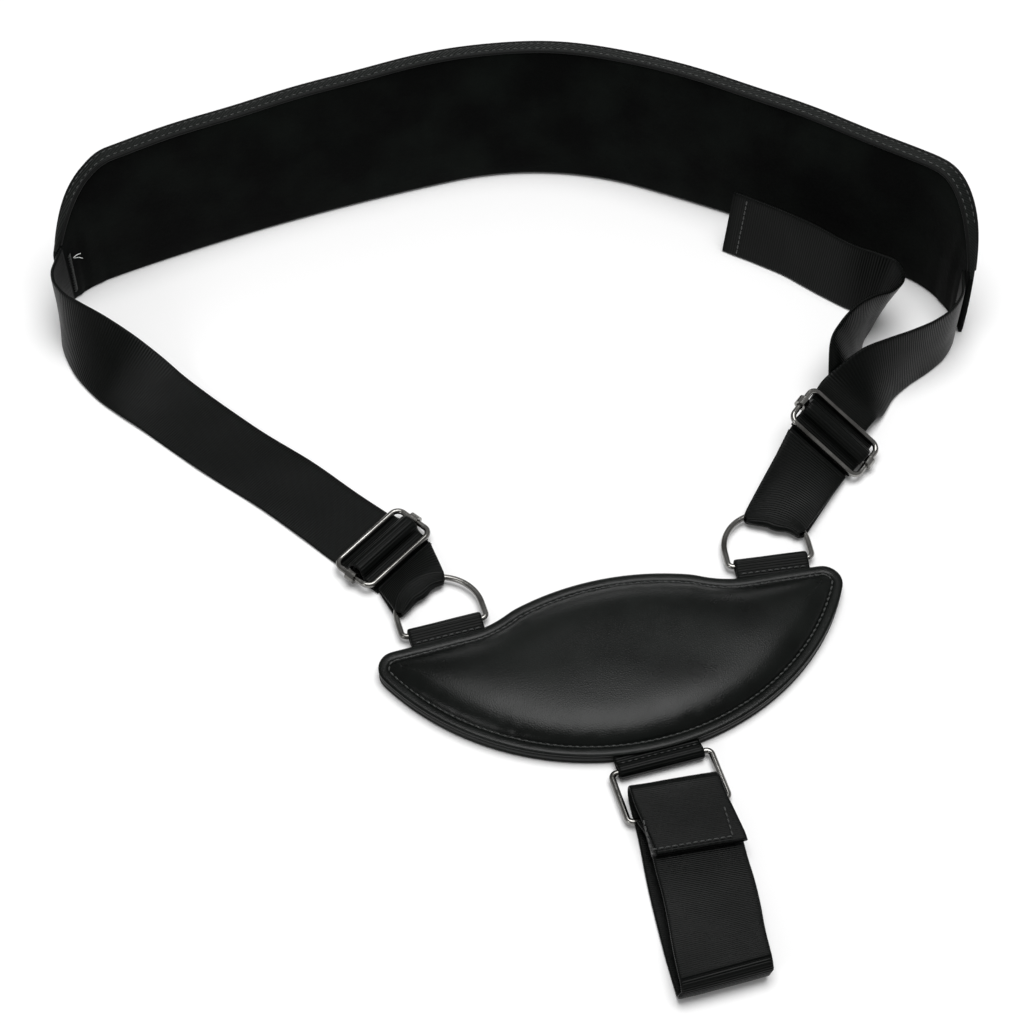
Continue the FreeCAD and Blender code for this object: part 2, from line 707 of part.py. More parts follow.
def strip(label, route, half_width, thickness):
    """A strap drawn as (outward, height) in the loop's axes, across the loop's X."""
    points = [LOOP.multVec(Vector(0.0, -outward, height)) for outward, height in route]
    across = LOOP.Rotation.multVec(Vector(half_width, 0.0, 0.0))
    return feature(label, ribbon_solid(with_tangents([(point, across) for point in points]), thickness))


def bend(centre, radius, start, end):
    """Points round a bend, with its angles in degrees."""
    points = []
    steps = 2 * FOLD_STEPS
    for step in range(steps + 1):
        angle = math.radians(start + (end - start) * step / steps)
        points.append((centre[0] + radius * math.cos(angle), centre[1] + radius * math.sin(angle)))
    return points


top_bend = bend((-FOLD_START, back_level + fold_radius), fold_radius, 90, 270)
bottom_bend = bend((reach, back_level + bottom_radius), bottom_radius, -90, 90)
front = [(FRONT_FLAT, front_level), (FRONT_START, front_level)]
strip("loop_strap", top_bend + bottom_bend + front, loop_half, loop_thick)
strip("loop_flap", [(-FOLD_START + GAP, flap_level), (FLAP_END, flap_level)], loop_half, loop_thick)
pile_level = front_level + (loop_thick + patch) / 2.0
hook_level = flap_level - (loop_thick + patch) / 2.0
patch_half = loop_half - PATCH_MARGIN
strip("pile_patch", [(PATCH_START, pile_level), (PATCH_END, pile_level)], patch_half, patch)
strip("hook_patch", [(PATCH_START, hook_level), (PATCH_END, hook_level)], patch_half, patch)

# ---------------------------------------------------------------- checks and export
doc.recompute()
for item in doc.Objects:
    if "Invalid" in item.State or "Error" in item.State:
        raise RuntimeError(f"{item.Name} did not recompute: {item.State}")
for piece in SUB_PARTS:
    if piece.Shape.isNull() or not piece.Shape.isValid() or piece.Shape.Volume <= 0.0:
        raise RuntimeError(f"{piece.Label} is not a sound solid")
    piece.Shape.exportStep(f"parts/{piece.Label}.step")
    print(f"{piece.Label:24s} {len(piece.Shape.Solids)} solid(s), {piece.Shape.Volume:9.1f} mm3")

whole = FreeCAD.BoundBox()
for piece in SUB_PARTS:
    whole.add(piece.Shape.BoundBox)
print("overall", [round(value, 2) for value in (whole.XMin, whole.XMax, whole.YMin, whole.YMax,
                                                 whole.ZMin, whole.ZMax)])
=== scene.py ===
"""A saxophone neck strap: its cloth, padding, stitches and metal. Lengths are in millimetres."""
import json
import math

import bpy
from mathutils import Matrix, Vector, kdtree, noise


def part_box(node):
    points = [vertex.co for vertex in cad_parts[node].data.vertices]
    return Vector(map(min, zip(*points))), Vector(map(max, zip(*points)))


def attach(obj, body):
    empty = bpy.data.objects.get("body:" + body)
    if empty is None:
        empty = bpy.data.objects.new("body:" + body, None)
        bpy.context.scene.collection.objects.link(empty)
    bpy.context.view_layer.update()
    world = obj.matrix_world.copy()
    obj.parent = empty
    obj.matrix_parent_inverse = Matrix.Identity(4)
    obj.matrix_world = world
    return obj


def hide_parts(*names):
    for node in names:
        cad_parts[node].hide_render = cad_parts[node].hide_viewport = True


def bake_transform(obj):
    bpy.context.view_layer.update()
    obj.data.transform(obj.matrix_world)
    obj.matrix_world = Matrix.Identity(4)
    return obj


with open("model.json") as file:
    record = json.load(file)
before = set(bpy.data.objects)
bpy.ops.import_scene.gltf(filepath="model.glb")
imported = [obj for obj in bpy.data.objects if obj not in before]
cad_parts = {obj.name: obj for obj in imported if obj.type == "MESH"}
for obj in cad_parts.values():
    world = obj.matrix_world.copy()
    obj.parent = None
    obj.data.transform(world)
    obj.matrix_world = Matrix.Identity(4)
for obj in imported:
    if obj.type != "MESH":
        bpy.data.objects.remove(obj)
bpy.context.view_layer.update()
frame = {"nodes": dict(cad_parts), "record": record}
MM = 0.001
JOINTS = {joint["name"]: joint for joint in frame["record"]["behaviour"]["joints"]}
UP = Vector((0.0, 0.0, 1.0))


# ---------------- places, taken from the frame
class Axes:
    """Local axes of an assembly: X along its bar or travel, Z out of its plane."""

    def __init__(self, origin, along, roll=0.0):
        self.origin = Vector(origin)
        self.x = Vector(along).normalized()
        level = UP.cross(self.x).normalized()
        raised = self.x.cross(level)
        turn = math.radians(roll)
        self.y = level * math.cos(turn) + raised * math.sin(turn)
        self.z = self.x.cross(self.y)

    def point(self, x, y, z=0.0):
        return self.origin + self.way(x, y, z)

    def way(self, x, y, z=0.0):
        return self.x * x + self.y * y + self.z * z


def hinge(name, sign=1.0):
    joint = JOINTS[name]
    return Axes(Vector(joint["pos_m"]) / MM, Vector(joint["axis"]) * sign)


def slide(name, node, roll=0.0):
    low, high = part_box(node)
    middle = (Vector(low) + Vector(high)) / 2.0 / MM
    return Axes(middle, JOINTS[name]["axis"], roll)


LEFT_DEE = hinge("left_d_ring_swing")
RIGHT_DEE = hinge("right_d_ring_swing")
RING = hinge("lower_ring_swing", -1.0)
LOOP = Axes(Vector(JOINTS["loop_swing"]["pos_m"]) / MM, Vector(JOINTS["flap_open"]["axis"]) * -1.0)
LEFT_SLIDER = slide("left_adjuster_slide", "left_slider_bar")
RIGHT_SLIDER = slide("right_adjuster_slide", "right_slider_bar", -28.0)
SHIFT = Vector((-0.3, 3.0, 0.0))  # from the point that the routes are measured from to the origin


def turned(vector, degrees):
    turn = math.radians(degrees)
    return Vector((vector.x * math.cos(turn) - vector.y * math.sin(turn),
                   vector.x * math.sin(turn) + vector.y * math.cos(turn), vector.z))


RING_YAW = 2.5  # the lower ring hangs at this angle to the crescent
RING_ASIDE = 1.0  # and here in the crescent's axes
RING_BELOW = -65.5
CRESCENT = Axes((0.0, 0.0, 0.0), turned(RING.x, -RING_YAW))
CRESCENT.origin = (Vector((RING.origin.x, RING.origin.y, 0.0))
                   - CRESCENT.way(RING_ASIDE, RING_BELOW))

WEBBING = 1.4  # thickness of all the side webbing
HALF = 16.0  # half the width of the side webbing


# ---------------- materials
def new_material(name, colour, roughness, **sockets):
    made = bpy.data.materials.new(name)
    made.use_nodes = True
    shader = made.node_tree.nodes["Principled BSDF"]
    shader.inputs["Base Color"].default_value = (*colour, 1.0)
    shader.inputs["Roughness"].default_value = roughness
    for socket, value in sockets.items():
        shader.inputs[socket.replace("_", " ")].default_value = value
    return made, shader


def add_node(made, kind, inputs=None, **settings):
    """A shader node with the values of its input sockets and its own settings."""
    node = made.node_tree.nodes.new(kind)
    for key, value in settings.items():
        setattr(node, key, value)
    for socket, value in (inputs or {}).items():
        node.inputs[socket].default_value = value
    return node


def join(made, source, target):
    made.node_tree.links.new(source, target)


def ramp(made, source, low, high, first, last):
    """Maps a factor between two positions to a value between first and last."""
    spread = add_node(made, "ShaderNodeMapRange",
                      {"From Min": low, "From Max": high, "To Min": first, "To Max": last})
    join(made, source, spread.inputs["Value"])
    return spread.outputs["Result"]


def bumped(made, shader, layers):
    """Stacks bump nodes: (height output, distance in mm, strength)."""
    normal = None
    for height, distance, strength in layers:
        bump = add_node(made, "ShaderNodeBump", {"Distance": distance * MM, "Strength": strength})
        join(made, height, bump.inputs["Height"])
        if normal:
            join(made, normal, bump.inputs["Normal"])
        normal = bump.outputs["Normal"]
    join(made, normal, shader.inputs["Normal"])


def noise_of(made, vector, scale, detail=3.0):
    texture = add_node(made, "ShaderNodeTexNoise", {"Scale": scale, "Detail": detail})
    join(made, vector, texture.inputs["Vector"])
    return texture.outputs["Fac"]


def bands_of(made, vector, pitch, direction, distortion=0.0):
    """Parallel ridges with a pitch in the units of the vector."""
    values = {"Scale": math.pi / 10.0 / pitch, "Distortion": distortion, "Detail": 0.0}
    texture = add_node(made, "ShaderNodeTexWave", values, bands_direction=direction)
    join(made, vector, texture.inputs["Vector"])
    return texture.outputs["Fac"]


def vary_colour(made, shader, factor, dark, light):
    """Drives the base colour from dark to light by a factor."""
    mix = add_node(made, "ShaderNodeMix", data_type="RGBA")
    ends = {"A": dark, "B": light}
    for socket in mix.inputs:
        if socket.type == "RGBA":
            socket.default_value = (*ends[socket.name], 1.0)
    join(made, factor, mix.inputs["Factor"])
    colour = [output for output in mix.outputs if output.type == "RGBA"][0]
    join(made, colour, shader.inputs["Base Color"])


def along_cloth(made):
    """Coordinates in millimetres across and along a strap or over a pad, from its own layout."""
    return add_node(made, "ShaderNodeUVMap", uv_map="cloth").outputs["UV"]


def in_space(made):
    """Coordinates in metres in the object's own space."""
    return add_node(made, "ShaderNodeTexCoord").outputs["Object"]


def grosgrain(name, colour, roughness, pitch):
    """Ribbed webbing: ridges across it, fine warp ends along it, and a worn, uneven sheen."""
    made, shader = new_material(name, colour, roughness, Sheen_Weight=0.01, Sheen_Roughness=0.4,
                                Specular_IOR_Level=0.1)
    cloth = along_cloth(made)
    space = in_space(made)
    ribs = bands_of(made, cloth, pitch, "Y", 0.15)
    ends = bands_of(made, cloth, 0.42, "X")
    cloud = noise_of(made, space, 60.0)
    fuzz = noise_of(made, space, 2600.0, 2.0)
    light = tuple(2.4 * part + 0.0004 for part in colour)
    vary_colour(made, shader, ramp(made, ribs, 0.2, 1.0, 0.0, 1.0), colour, light)
    join(made, ramp(made, cloud, 0.3, 0.7, roughness - 0.07, roughness + 0.08),
         shader.inputs["Roughness"])
    bumped(made, shader, [(fuzz, 0.05, 0.35), (ends, 0.06, 0.35), (ribs, 0.16, 0.75)])
    return made


def velour():
    """Brushed pile: nearly black, with lighter patches of base colour, a painted sheen, where the pile
    lies the other way.
    """
    made, shader = new_material("velour_pile", (0.0012, 0.0018, 0.0014), 0.92,
                                Sheen_Weight=0.04, Sheen_Roughness=0.45, Specular_IOR_Level=0.05)
    space = in_space(made)
    nap_sheen = noise_of(made, space, 34.0, 4.0)
    pile = noise_of(made, space, 2200.0, 2.0)
    tuft = noise_of(made, space, 420.0, 3.0)
    # painted sheen: this noise lightens the base colour in patches, and it also drives the pile's bump
    vary_colour(made, shader, ramp(made, nap_sheen, 0.42, 0.68, 0.0, 1.0), (0.0006, 0.0008, 0.0007),
                (0.003, 0.0042, 0.0034))
    bumped(made, shader, [(nap_sheen, 1.2, 0.25), (tuft, 0.35, 0.45), (pile, 0.12, 0.7)])
    return made


def twill():
    """The band's gusset and back: a fine diagonal twill."""
    made, shader = new_material("mesh_twill", (0.002, 0.003, 0.0024), 0.6, Sheen_Weight=0.03,
                                Specular_IOR_Level=0.15)
    cloth = along_cloth(made)
    turn = add_node(made, "ShaderNodeVectorRotate", {"Angle": math.radians(38.0)},
                    rotation_type="Z_AXIS")
    join(made, cloth, turn.inputs["Vector"])
    lines = bands_of(made, turn.outputs["Vector"], 1.25, "X", 0.3)
    cross = bands_of(made, cloth, 0.8, "Y")
    fuzz = noise_of(made, in_space(made), 1900.0, 2.0)
    vary_colour(made, shader, ramp(made, lines, 0.3, 0.9, 0.0, 1.0), (0.0008, 0.0012, 0.001),
                (0.005, 0.0075, 0.006))
    bumped(made, shader, [(fuzz, 0.05, 0.4), (cross, 0.08, 0.4), (lines, 0.22, 0.8)])
    return made


def coated_leather(name, roughness, grain=0.5):
    """Smooth coated leather: a tight pebble grain, broad unevenness and a soft gloss."""
    made, shader = new_material(name, (0.002, 0.0028, 0.0022), roughness, Coat_Weight=0.05,
                                Coat_Roughness=0.25, Specular_IOR_Level=0.17)
    space = in_space(made)
    cells = add_node(made, "ShaderNodeTexVoronoi", {"Scale": 1150.0}, feature="DISTANCE_TO_EDGE")
    join(made, space, cells.inputs["Vector"])
    pebble = ramp(made, cells.outputs["Distance"], 0.0, 0.35, 0.0, 1.0)
    fine = noise_of(made, space, 1500.0, 4.0)
    broad = noise_of(made, space, 45.0, 3.0)
    vary_colour(made, shader, ramp(made, broad, 0.35, 0.65, 0.0, 1.0), (0.0012, 0.0018, 0.0014),
                (0.0028, 0.004, 0.0032))
    join(made, ramp(made, broad, 0.3, 0.7, roughness - 0.05, roughness + 0.07),
         shader.inputs["Roughness"])
    bumped(made, shader, [(broad, 0.5, 0.12), (fine, 0.04, 0.3), (pebble, 0.06, grain)])
    return made


def gunmetal():
    """Dark plated wire with faint drawing marks and worn, brighter patches."""
    made, shader = new_material("gunmetal_wire", (0.20, 0.195, 0.185), 0.14, Metallic=1.0)
    space = in_space(made)
    marks = noise_of(made, space, 900.0, 5.0)
    wear = noise_of(made, space, 70.0, 3.0)
    vary_colour(made, shader, ramp(made, wear, 0.35, 0.7, 0.0, 1.0), (0.13, 0.127, 0.12),
                (0.34, 0.335, 0.32))
    join(made, ramp(made, marks, 0.3, 0.7, 0.12, 0.26), shader.inputs["Roughness"])
    bumped(made, shader, [(marks, 0.03, 0.12)])
    return made


def thread(name, colour):
    """Sewing thread with its twist."""
    made, shader = new_material(name, colour, 0.45, Sheen_Weight=0.3)
    space = in_space(made)
    twist = bands_of(made, space, 0.0005, "DIAGONAL", 0.4)
    fuzz = noise_of(made, space, 4000.0, 2.0)
    light = tuple(2.2 * part for part in colour)
    vary_colour(made, shader, ramp(made, twist, 0.3, 0.9, 0.0, 1.0), colour, light)
    bumped(made, shader, [(fuzz, 0.03, 0.3), (twist, 0.08, 0.6)])
    return made


def fastener(name, scale, height):
    """Hook or loop tape: a dense field of points."""
    made, shader = new_material(name, (0.006, 0.006, 0.006), 0.7, Sheen_Weight=0.2)
    dots = add_node(made, "ShaderNodeTexVoronoi", {"Scale": scale})
    join(made, in_space(made), dots.inputs["Vector"])
    tips = ramp(made, dots.outputs["Distance"], 0.0, 0.5, 1.0, 0.0)
    vary_colour(made, shader, tips, (0.003, 0.003, 0.003), (0.014, 0.014, 0.014))
    bumped(made, shader, [(tips, height, 0.9)])
    return made


WEB = grosgrain("ribbed_webbing", (0.0006, 0.0009, 0.0007), 0.36, 1.07)
LOOP_WEB = grosgrain("loop_webbing", (0.0005, 0.0008, 0.0006), 0.3, 0.8)
VELOUR = velour()
TWILL = twill()
LEATHER = coated_leather("coated_leather", 0.3)
EDGE_PAINT = coated_leather("painted_edge", 0.42, 0.15)
METAL = gunmetal()
THREAD = thread("black_thread", (0.009, 0.0105, 0.0095))
STRAY = thread("stray_thread", (0.55, 0.56, 0.55))
HOOKS = fastener("hook_tape", 900.0, 0.4)
PILE = fastener("loop_tape", 1500.0, 0.25)


# ---------------- mesh building
def mesh_piece(name, points, faces, made, layout=None, second=None):
    """A smooth mesh object; layout gives each point's place on the flat cloth in millimetres."""
    mesh = bpy.data.meshes.new(name)
    mesh.from_pydata([tuple(point * MM) for point in points], [], faces)
    mesh.materials.append(made)
    if second:
        mesh.materials.append(second)
    if layout:
        uv = mesh.uv_layers.new(name="cloth")
        for loop in mesh.loops:
            uv.data[loop.index].uv = layout[loop.vertex_index]
    mesh.polygons.foreach_set("use_smooth", [True] * len(mesh.polygons))
    mesh.validate()
    piece = bpy.data.objects.new(name, mesh)
    bpy.context.scene.collection.objects.link(piece)
    return piece


def grid_faces(rows, columns, flip=False):
    """Quads between rows of points, each row closed on itself."""
    faces = []
    for row in range(rows - 1):
        for column in range(columns):
            after = (column + 1) % columns
            face = (row * columns + column, row * columns + after,
                    (row + 1) * columns + after, (row + 1) * columns + column)
            faces.append(face[::-1] if flip else face)
    return faces


def smooth_between(values, parts):
    """Catmull-Rom points through a list of vectors, with parts steps between each two."""
    found = []
    for index in range(len(values) - 1):
        b, c = values[index], values[index + 1]
        a = values[index - 1] if index else b * 2.0 - c
        d = values[index + 2] if index + 2 < len(values) else c * 2.0 - b
        for part in range(parts):
            t = part / parts
            found.append(0.5 * ((2.0 * b) + (c - a) * t + (2.0 * a - 5.0 * b + 4.0 * c - d) * t * t
                                + (3.0 * b - a - 3.0 * c + d) * t * t * t))
    found.append(values[-1].copy())
    return found


def direction_at(points, index):
    before = points[max(index - 1, 0)]
    after = points[min(index + 1, len(points) - 1)]
    return (after - before).normalized()


def lengths_along(points):
    total = [0.0]
    for before, after in zip(points, points[1:]):
        total.append(total[-1] + (after - before).length)
    return total


# Places across a strap, as shares of its half width, close together at the selvedges.
ROUND = [-1.0, -0.993, -0.975, -0.94, -0.86, -0.7, -0.5, -0.25, 0.0,
         0.25, 0.5, 0.7, 0.86, 0.94, 0.975, 0.993, 1.0]
SELVEDGE = 0.94  # the strap's edge is rounded from here out


def cloth(name, rows, made, thick, along, half):
    """Thickens rows of points across a strap's middle layer, one point for each share of ROUND."""
    points = []
    layout = []
    last = len(ROUND) - 1
    columns = 2 * last
    for number, row in enumerate(rows):
        before = rows[max(number - 1, 0)]
        after = rows[min(number + 1, len(rows) - 1)]
        out = []
        for place in range(len(ROUND)):
            across = row[min(place + 1, last)] - row[max(place - 1, 0)]
            out.append(across.cross(after[place] - before[place]).normalized())
        walk = [(1.0, place) for place in range(last + 1)]
        walk += [(-1.0, place) for place in range(last - 1, 0, -1)]
        for side, place in walk:
            edge = max(0.0, (abs(ROUND[place]) - SELVEDGE) / (1.0 - SELVEDGE))
            lift = side * thick / 2.0 * math.sqrt(max(0.0, 1.0 - edge * edge))
            points.append(row[place] + out[place] * lift)
            layout.append((ROUND[place] * half, along[number]))
    faces = grid_faces(len(rows), columns)
    faces.append(tuple(range(columns)))
    faces.append(tuple(reversed(range(len(points) - columns, len(points)))))
    return mesh_piece(name, points, faces, made, layout)


def ribbon(name, stations, made, thick=WEBBING, parts=6, shape=None):
    """A woven strap through stations of (centre, half-width vector), with soft selvedges.

    shape(along, share across) moves the cloth out of its plane.
    """
    centres = smooth_between([centre for centre, across in stations], parts)
    acrosses = smooth_between([across for centre, across in stations], parts)
    along = lengths_along(centres)
    rows = []
    for index, centre in enumerate(centres):
        across = acrosses[index]
        normal = across.cross(direction_at(centres, index)).normalized()
        lifts = [shape(along[index], share) if shape else 0.0 for share in ROUND]
        rows.append([centre + across * share + normal * lift for share, lift in zip(ROUND, lifts)])
    return cloth(name, rows, made, thick, along, stations[0][1].length)


def tube(name, path, radius, made, sides):
    """Round cord along points."""
    points = []
    for index, middle in enumerate(path):
        forward = direction_at(path, index)
        side = forward.cross(UP).normalized()
        over = side.cross(forward)
        for step in range(sides):
            angle = 2.0 * math.pi * step / sides
            points.append(middle + (side * math.cos(angle) + over * math.sin(angle)) * radius)
    faces = grid_faces(len(path), sides)
    faces.append(tuple(reversed(range(sides))))
    faces.append(tuple(range(len(points) - sides, len(points))))
    return mesh_piece(name, points, faces, made)


def resampled(path, pitch, closed=False):
    """Places at an even pitch along a path: (point, direction)."""
    line = list(path) + ([path[0]] if closed else [])
    total = lengths_along(line)
    count = max(2, round(total[-1] / pitch))
    places = []
    segment = 0
    for number in range(count):
        wanted = total[-1] * (number + 0.5) / count
        while total[segment + 1] < wanted:
            segment += 1
        share = (wanted - total[segment]) / max(1e-9, total[segment + 1] - total[segment])
        point = line[segment].lerp(line[segment + 1], share)
        places.append((point, (line[segment + 1] - line[segment]).normalized()))
    return places


# Rings of one stitch: (place along as a share of its length, fatness, lift in radii).
STITCH_RINGS = [(-0.5, 0.25, -0.8), (-0.42, 0.75, -0.2), (-0.2, 1.0, 0.25), (0.0, 1.0, 0.35),
                (0.2, 1.0, 0.25), (0.42, 0.75, -0.2), (0.5, 0.25, -0.8)]
STITCH_SIDES = 7


def stitching(name, places, out, length, radius, slant=0.0):
    """A row of thread stitches as one mesh; out is the way out of the cloth."""
    points = []
    faces = []
    for number, (middle, forward) in enumerate(places):
        side = forward.cross(out).normalized()
        jitter = noise.noise(middle * 0.7) * 0.12
        run = (forward + side * (slant + jitter)).normalized()
        side = run.cross(out).normalized()
        start = len(points)
        for along, fat, lift in STITCH_RINGS:
            centre = middle + run * (along * length) + out * (lift * radius)
            for step in range(STITCH_SIDES):
                angle = 2.0 * math.pi * step / STITCH_SIDES
                points.append(centre + (side * math.cos(angle) + out * math.sin(angle)) * (fat * radius))
        for face in grid_faces(len(STITCH_RINGS), STITCH_SIDES):
            faces.append(tuple(start + corner for corner in face))
        faces.append(tuple(reversed(range(start, start + STITCH_SIDES))))
        faces.append(tuple(range(len(points) - STITCH_SIDES, len(points))))
    return mesh_piece(name, points, faces, THREAD)


def place(piece, body, slot, *nodes):
    """Gives a piece its body and hides the CAD nodes it stands for; its material slot is not used."""
    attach(piece, body)
    if nodes:
        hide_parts(*nodes)
    return piece


# ---------------- neck band
BAND_START = Vector((-195.5, 115.5, 0.0))  # foot of its left end
BAND_HEADING = 61.0
# The band's curve from its left end, as (length, turn in degrees).
BAND_ARCS = [(23.0, -34.0), (164.0, -10.0), (88.0, -39.0), (128.0, -8.0), (40.0, -55.0)]
BAND_LENGTH = sum(length for length, turn in BAND_ARCS)
BAND_HEIGHT = 67.0
BAND_END = 33.0  # its height where the webbing is sewn in
BAND_TAPER = 34.0  # length over which it rises from that to its full height
BAND_THICK = 10.0
BAND_LEAN = 7.0  # its middle leans back by this many degrees
BAND_END_SHARE = 0.5  # share of its thickness left at its ends


def band_place(travelled):
    """Foot of the band, its heading, how full it is and how far it leans back."""
    point = BAND_START + SHIFT
    heading = math.radians(BAND_HEADING)
    left = travelled
    for length, turn in BAND_ARCS:
        run = max(0.0, min(left, length))
        if run > 0.0:
            bend = math.radians(turn) * run / length
            chord = run * math.sin(bend / 2.0) / (bend / 2.0)
            middle = heading + bend / 2.0
            point = point + Vector((math.cos(middle), math.sin(middle), 0.0)) * chord
            heading += bend
            left -= run
    from_end = min(travelled, BAND_LENGTH - travelled)
    full = math.sin(min(1.0, from_end / BAND_TAPER) * math.pi / 2.0)
    lean = math.radians(BAND_LEAN) * math.sin(math.pi * travelled / BAND_LENGTH)
    return point, heading, full, lean


def creases(travelled, height):
    """Gathers that run up from where the webbing is sewn into each end of the band."""
    from_end = min(travelled, BAND_LENGTH - travelled)
    fade = math.exp(-((from_end - 9.0) / 13.0) ** 2) * max(0.0, 1.0 - height / 58.0)
    wave = math.sin(from_end * 0.62 + height * 0.05) + 0.6 * math.sin(from_end * 1.13 + 1.7)
    return 0.75 * fade * wave


def band_surface(travelled, depth, height):
    """A point of the band from its distance along, its depth behind the inner face, its height."""
    point, heading, full, lean = band_place(travelled)
    out = Vector((-math.sin(heading), math.cos(heading), 0.0))
    across = out * math.cos(lean) - UP * math.sin(lean)
    upright = out * math.sin(lean) + UP * math.cos(lean)
    plump = BAND_END_SHARE + (1.0 - BAND_END_SHARE) * full
    foot = point + UP * (BAND_THICK * math.sin(lean))
    return foot + across * (depth * plump) + upright * height


def band_height(travelled):
    full = band_place(travelled)[2]
    sag = 0.35 * math.sin(travelled * 0.045) + 0.25 * math.sin(travelled * 0.11 + 1.0)
    return BAND_END + (BAND_HEIGHT - BAND_END) * full + sag * full


CORNER = 2.2  # radius of the band's edges
FACE_STEPS = 14
EDGE_STEPS = 5


def band_profile():
    """Round the band's section: (depth share, height share, corner offset, which face)."""
    around = []
    for step in range(FACE_STEPS + 1):
        around.append((0.0, step / FACE_STEPS, "inner"))
    for step in range(1, EDGE_STEPS + 1):
        around.append((step / (EDGE_STEPS + 1), 1.0, "top"))
    for step in range(FACE_STEPS + 1):
        around.append((1.0, 1.0 - step / FACE_STEPS, "outer"))
    for step in range(1, EDGE_STEPS + 1):
        around.append((1.0 - step / (EDGE_STEPS + 1), 0.0, "foot"))
    return around


def rounded(depth, high, top):
    """Pulls the section's corners in to a radius, and crowns its faces."""
    x = depth * BAND_THICK
    y = high * top
    for cx, sx in ((CORNER, -1.0), (BAND_THICK - CORNER, 1.0)):
        for cy, sy in ((CORNER, -1.0), (top - CORNER, 1.0)):
            dx = (x - cx) * sx
            dy = (y - cy) * sy
            if dx > 0.0 and dy > 0.0:
                longest = max(dx, dy)
                reach = math.hypot(dx, dy)
                scale = longest / reach if reach else 1.0
                x = cx + sx * dx * scale
                y = cy + sy * dy * scale
    return x, y


END_CLOSED = 0.42  # the sewn ends are squeezed to this much of their thickness
END_RUN = 16.0  # over this much of the band's length
NUB = 5.0  # a fold of cloth stands out this far behind the left end
NUB_UP = 27.0


def squeezed(travelled, depth):
    """A depth in the band, drawn in to the mid plane towards the sewn ends."""
    end = min(travelled, BAND_LENGTH - travelled)
    closing = END_CLOSED + (1.0 - END_CLOSED) * math.sin(math.pi / 2.0 * min(1.0, end / END_RUN))
    return BAND_THICK / 2.0 + (depth - BAND_THICK / 2.0) * closing


around = band_profile()
BAND_ROWS = 230
band_points = []
band_layout = []
for row in range(BAND_ROWS + 1):
    travelled = BAND_LENGTH * row / BAND_ROWS
    top = band_height(travelled)
    for depth, high, face in around:
        x, y = rounded(depth, high, top)
        middle = math.sin(math.pi * high) if face in ("inner", "outer") else 0.0
        soft = noise.noise(Vector((travelled * 0.022, high * 1.3, 4.0)))
        if face == "inner":
            x += 0.9 - 1.5 * middle - 0.7 * soft * middle + creases(travelled, y)
        elif face == "outer":
            x += -0.9 + 1.4 * middle + 0.4 * soft * middle - 0.5 * creases(travelled, y)
            x += NUB * math.exp(-((travelled - 2.0) / 5.0) ** 2 - ((y - NUB_UP) / 7.0) ** 2)
        elif face == "top":
            y += 0.5 * math.sin(math.pi * depth)
        x = squeezed(travelled, x)
        band_points.append(band_surface(travelled, x, y))
        along_section = {"inner": y, "top": top + x, "outer": 2.0 * top + 10.0 - y, "foot": -x}[face]
        band_layout.append((along_section, travelled))
columns = len(around)
band_faces = grid_faces(BAND_ROWS + 1, columns, flip=True)
band_faces.append(tuple(range(columns)))
band_faces.append(tuple(reversed(range(BAND_ROWS * columns, (BAND_ROWS + 1) * columns))))
band = mesh_piece("neck_band_pad", band_points, band_faces, VELOUR, band_layout, TWILL)
for polygon in band.data.polygons[:BAND_ROWS * columns]:
    if polygon.index % columns >= FACE_STEPS:
        polygon.material_index = 1
place(band, "strap", "velour", "band_lining", "band_foam", "band_mesh", "band_binding")


LINE_START = 3.0
LINE_STEPS = 220
LINE_DIVE = 3.2


def band_line(depth, drop):
    """A line round the band's upper edge, drop below the top, that dives in at the ends."""
    line = []
    for step in range(LINE_STEPS + 1):
        travelled = LINE_START + (BAND_LENGTH - 2.0 * LINE_START) * step / LINE_STEPS
        end = min(travelled, BAND_LENGTH - travelled)
        dive = LINE_DIVE * max(0.0, 1.0 - end / END_RUN) ** 2
        line.append(band_surface(travelled, squeezed(travelled, depth),
                                 band_height(travelled) - drop - dive))
    return line


WELT_IN = 1.7  # the welts lie this far in from the faces
TOPSTITCH_IN = 3.1
for side, depth in (("inner", WELT_IN), ("outer", BAND_THICK - WELT_IN)):
    welt = tube(f"band_welt_{side}", band_line(depth, 0.25), 0.85, TWILL, sides=8)
    place(welt, "strap", "mesh")
for side, depth in (("inner", TOPSTITCH_IN), ("outer", BAND_THICK - TOPSTITCH_IN)):
    row = stitching(f"band_topstitch_{side}", resampled(band_line(depth, -0.25), 3.2), UP, 2.3, 0.26)
    place(row, "strap", "thread")


SEAM_IN = 5.5  # from the band's end
SEAM_DEPTH = 0.75
SEAM_HEIGHTS = range(5, 29)


def seam_column(name, travelled, node):
    """Bar tacks where the side webbing is sewn into the band's end."""
    line = [band_surface(travelled, SEAM_DEPTH + creases(travelled, h), h) for h in SEAM_HEIGHTS]
    heading = band_place(travelled)[1]
    inward = Vector((math.sin(heading), -math.cos(heading), 0.0))
    tack = stitching(name, resampled(line, 1.5), inward, 2.4, 0.32, 1.1)
    place(tack, "strap", "thread", node)


seam_column("left_band_tack", SEAM_IN, "left_band_seam")
seam_column("right_band_tack", BAND_LENGTH - SEAM_IN, "right_band_seam")

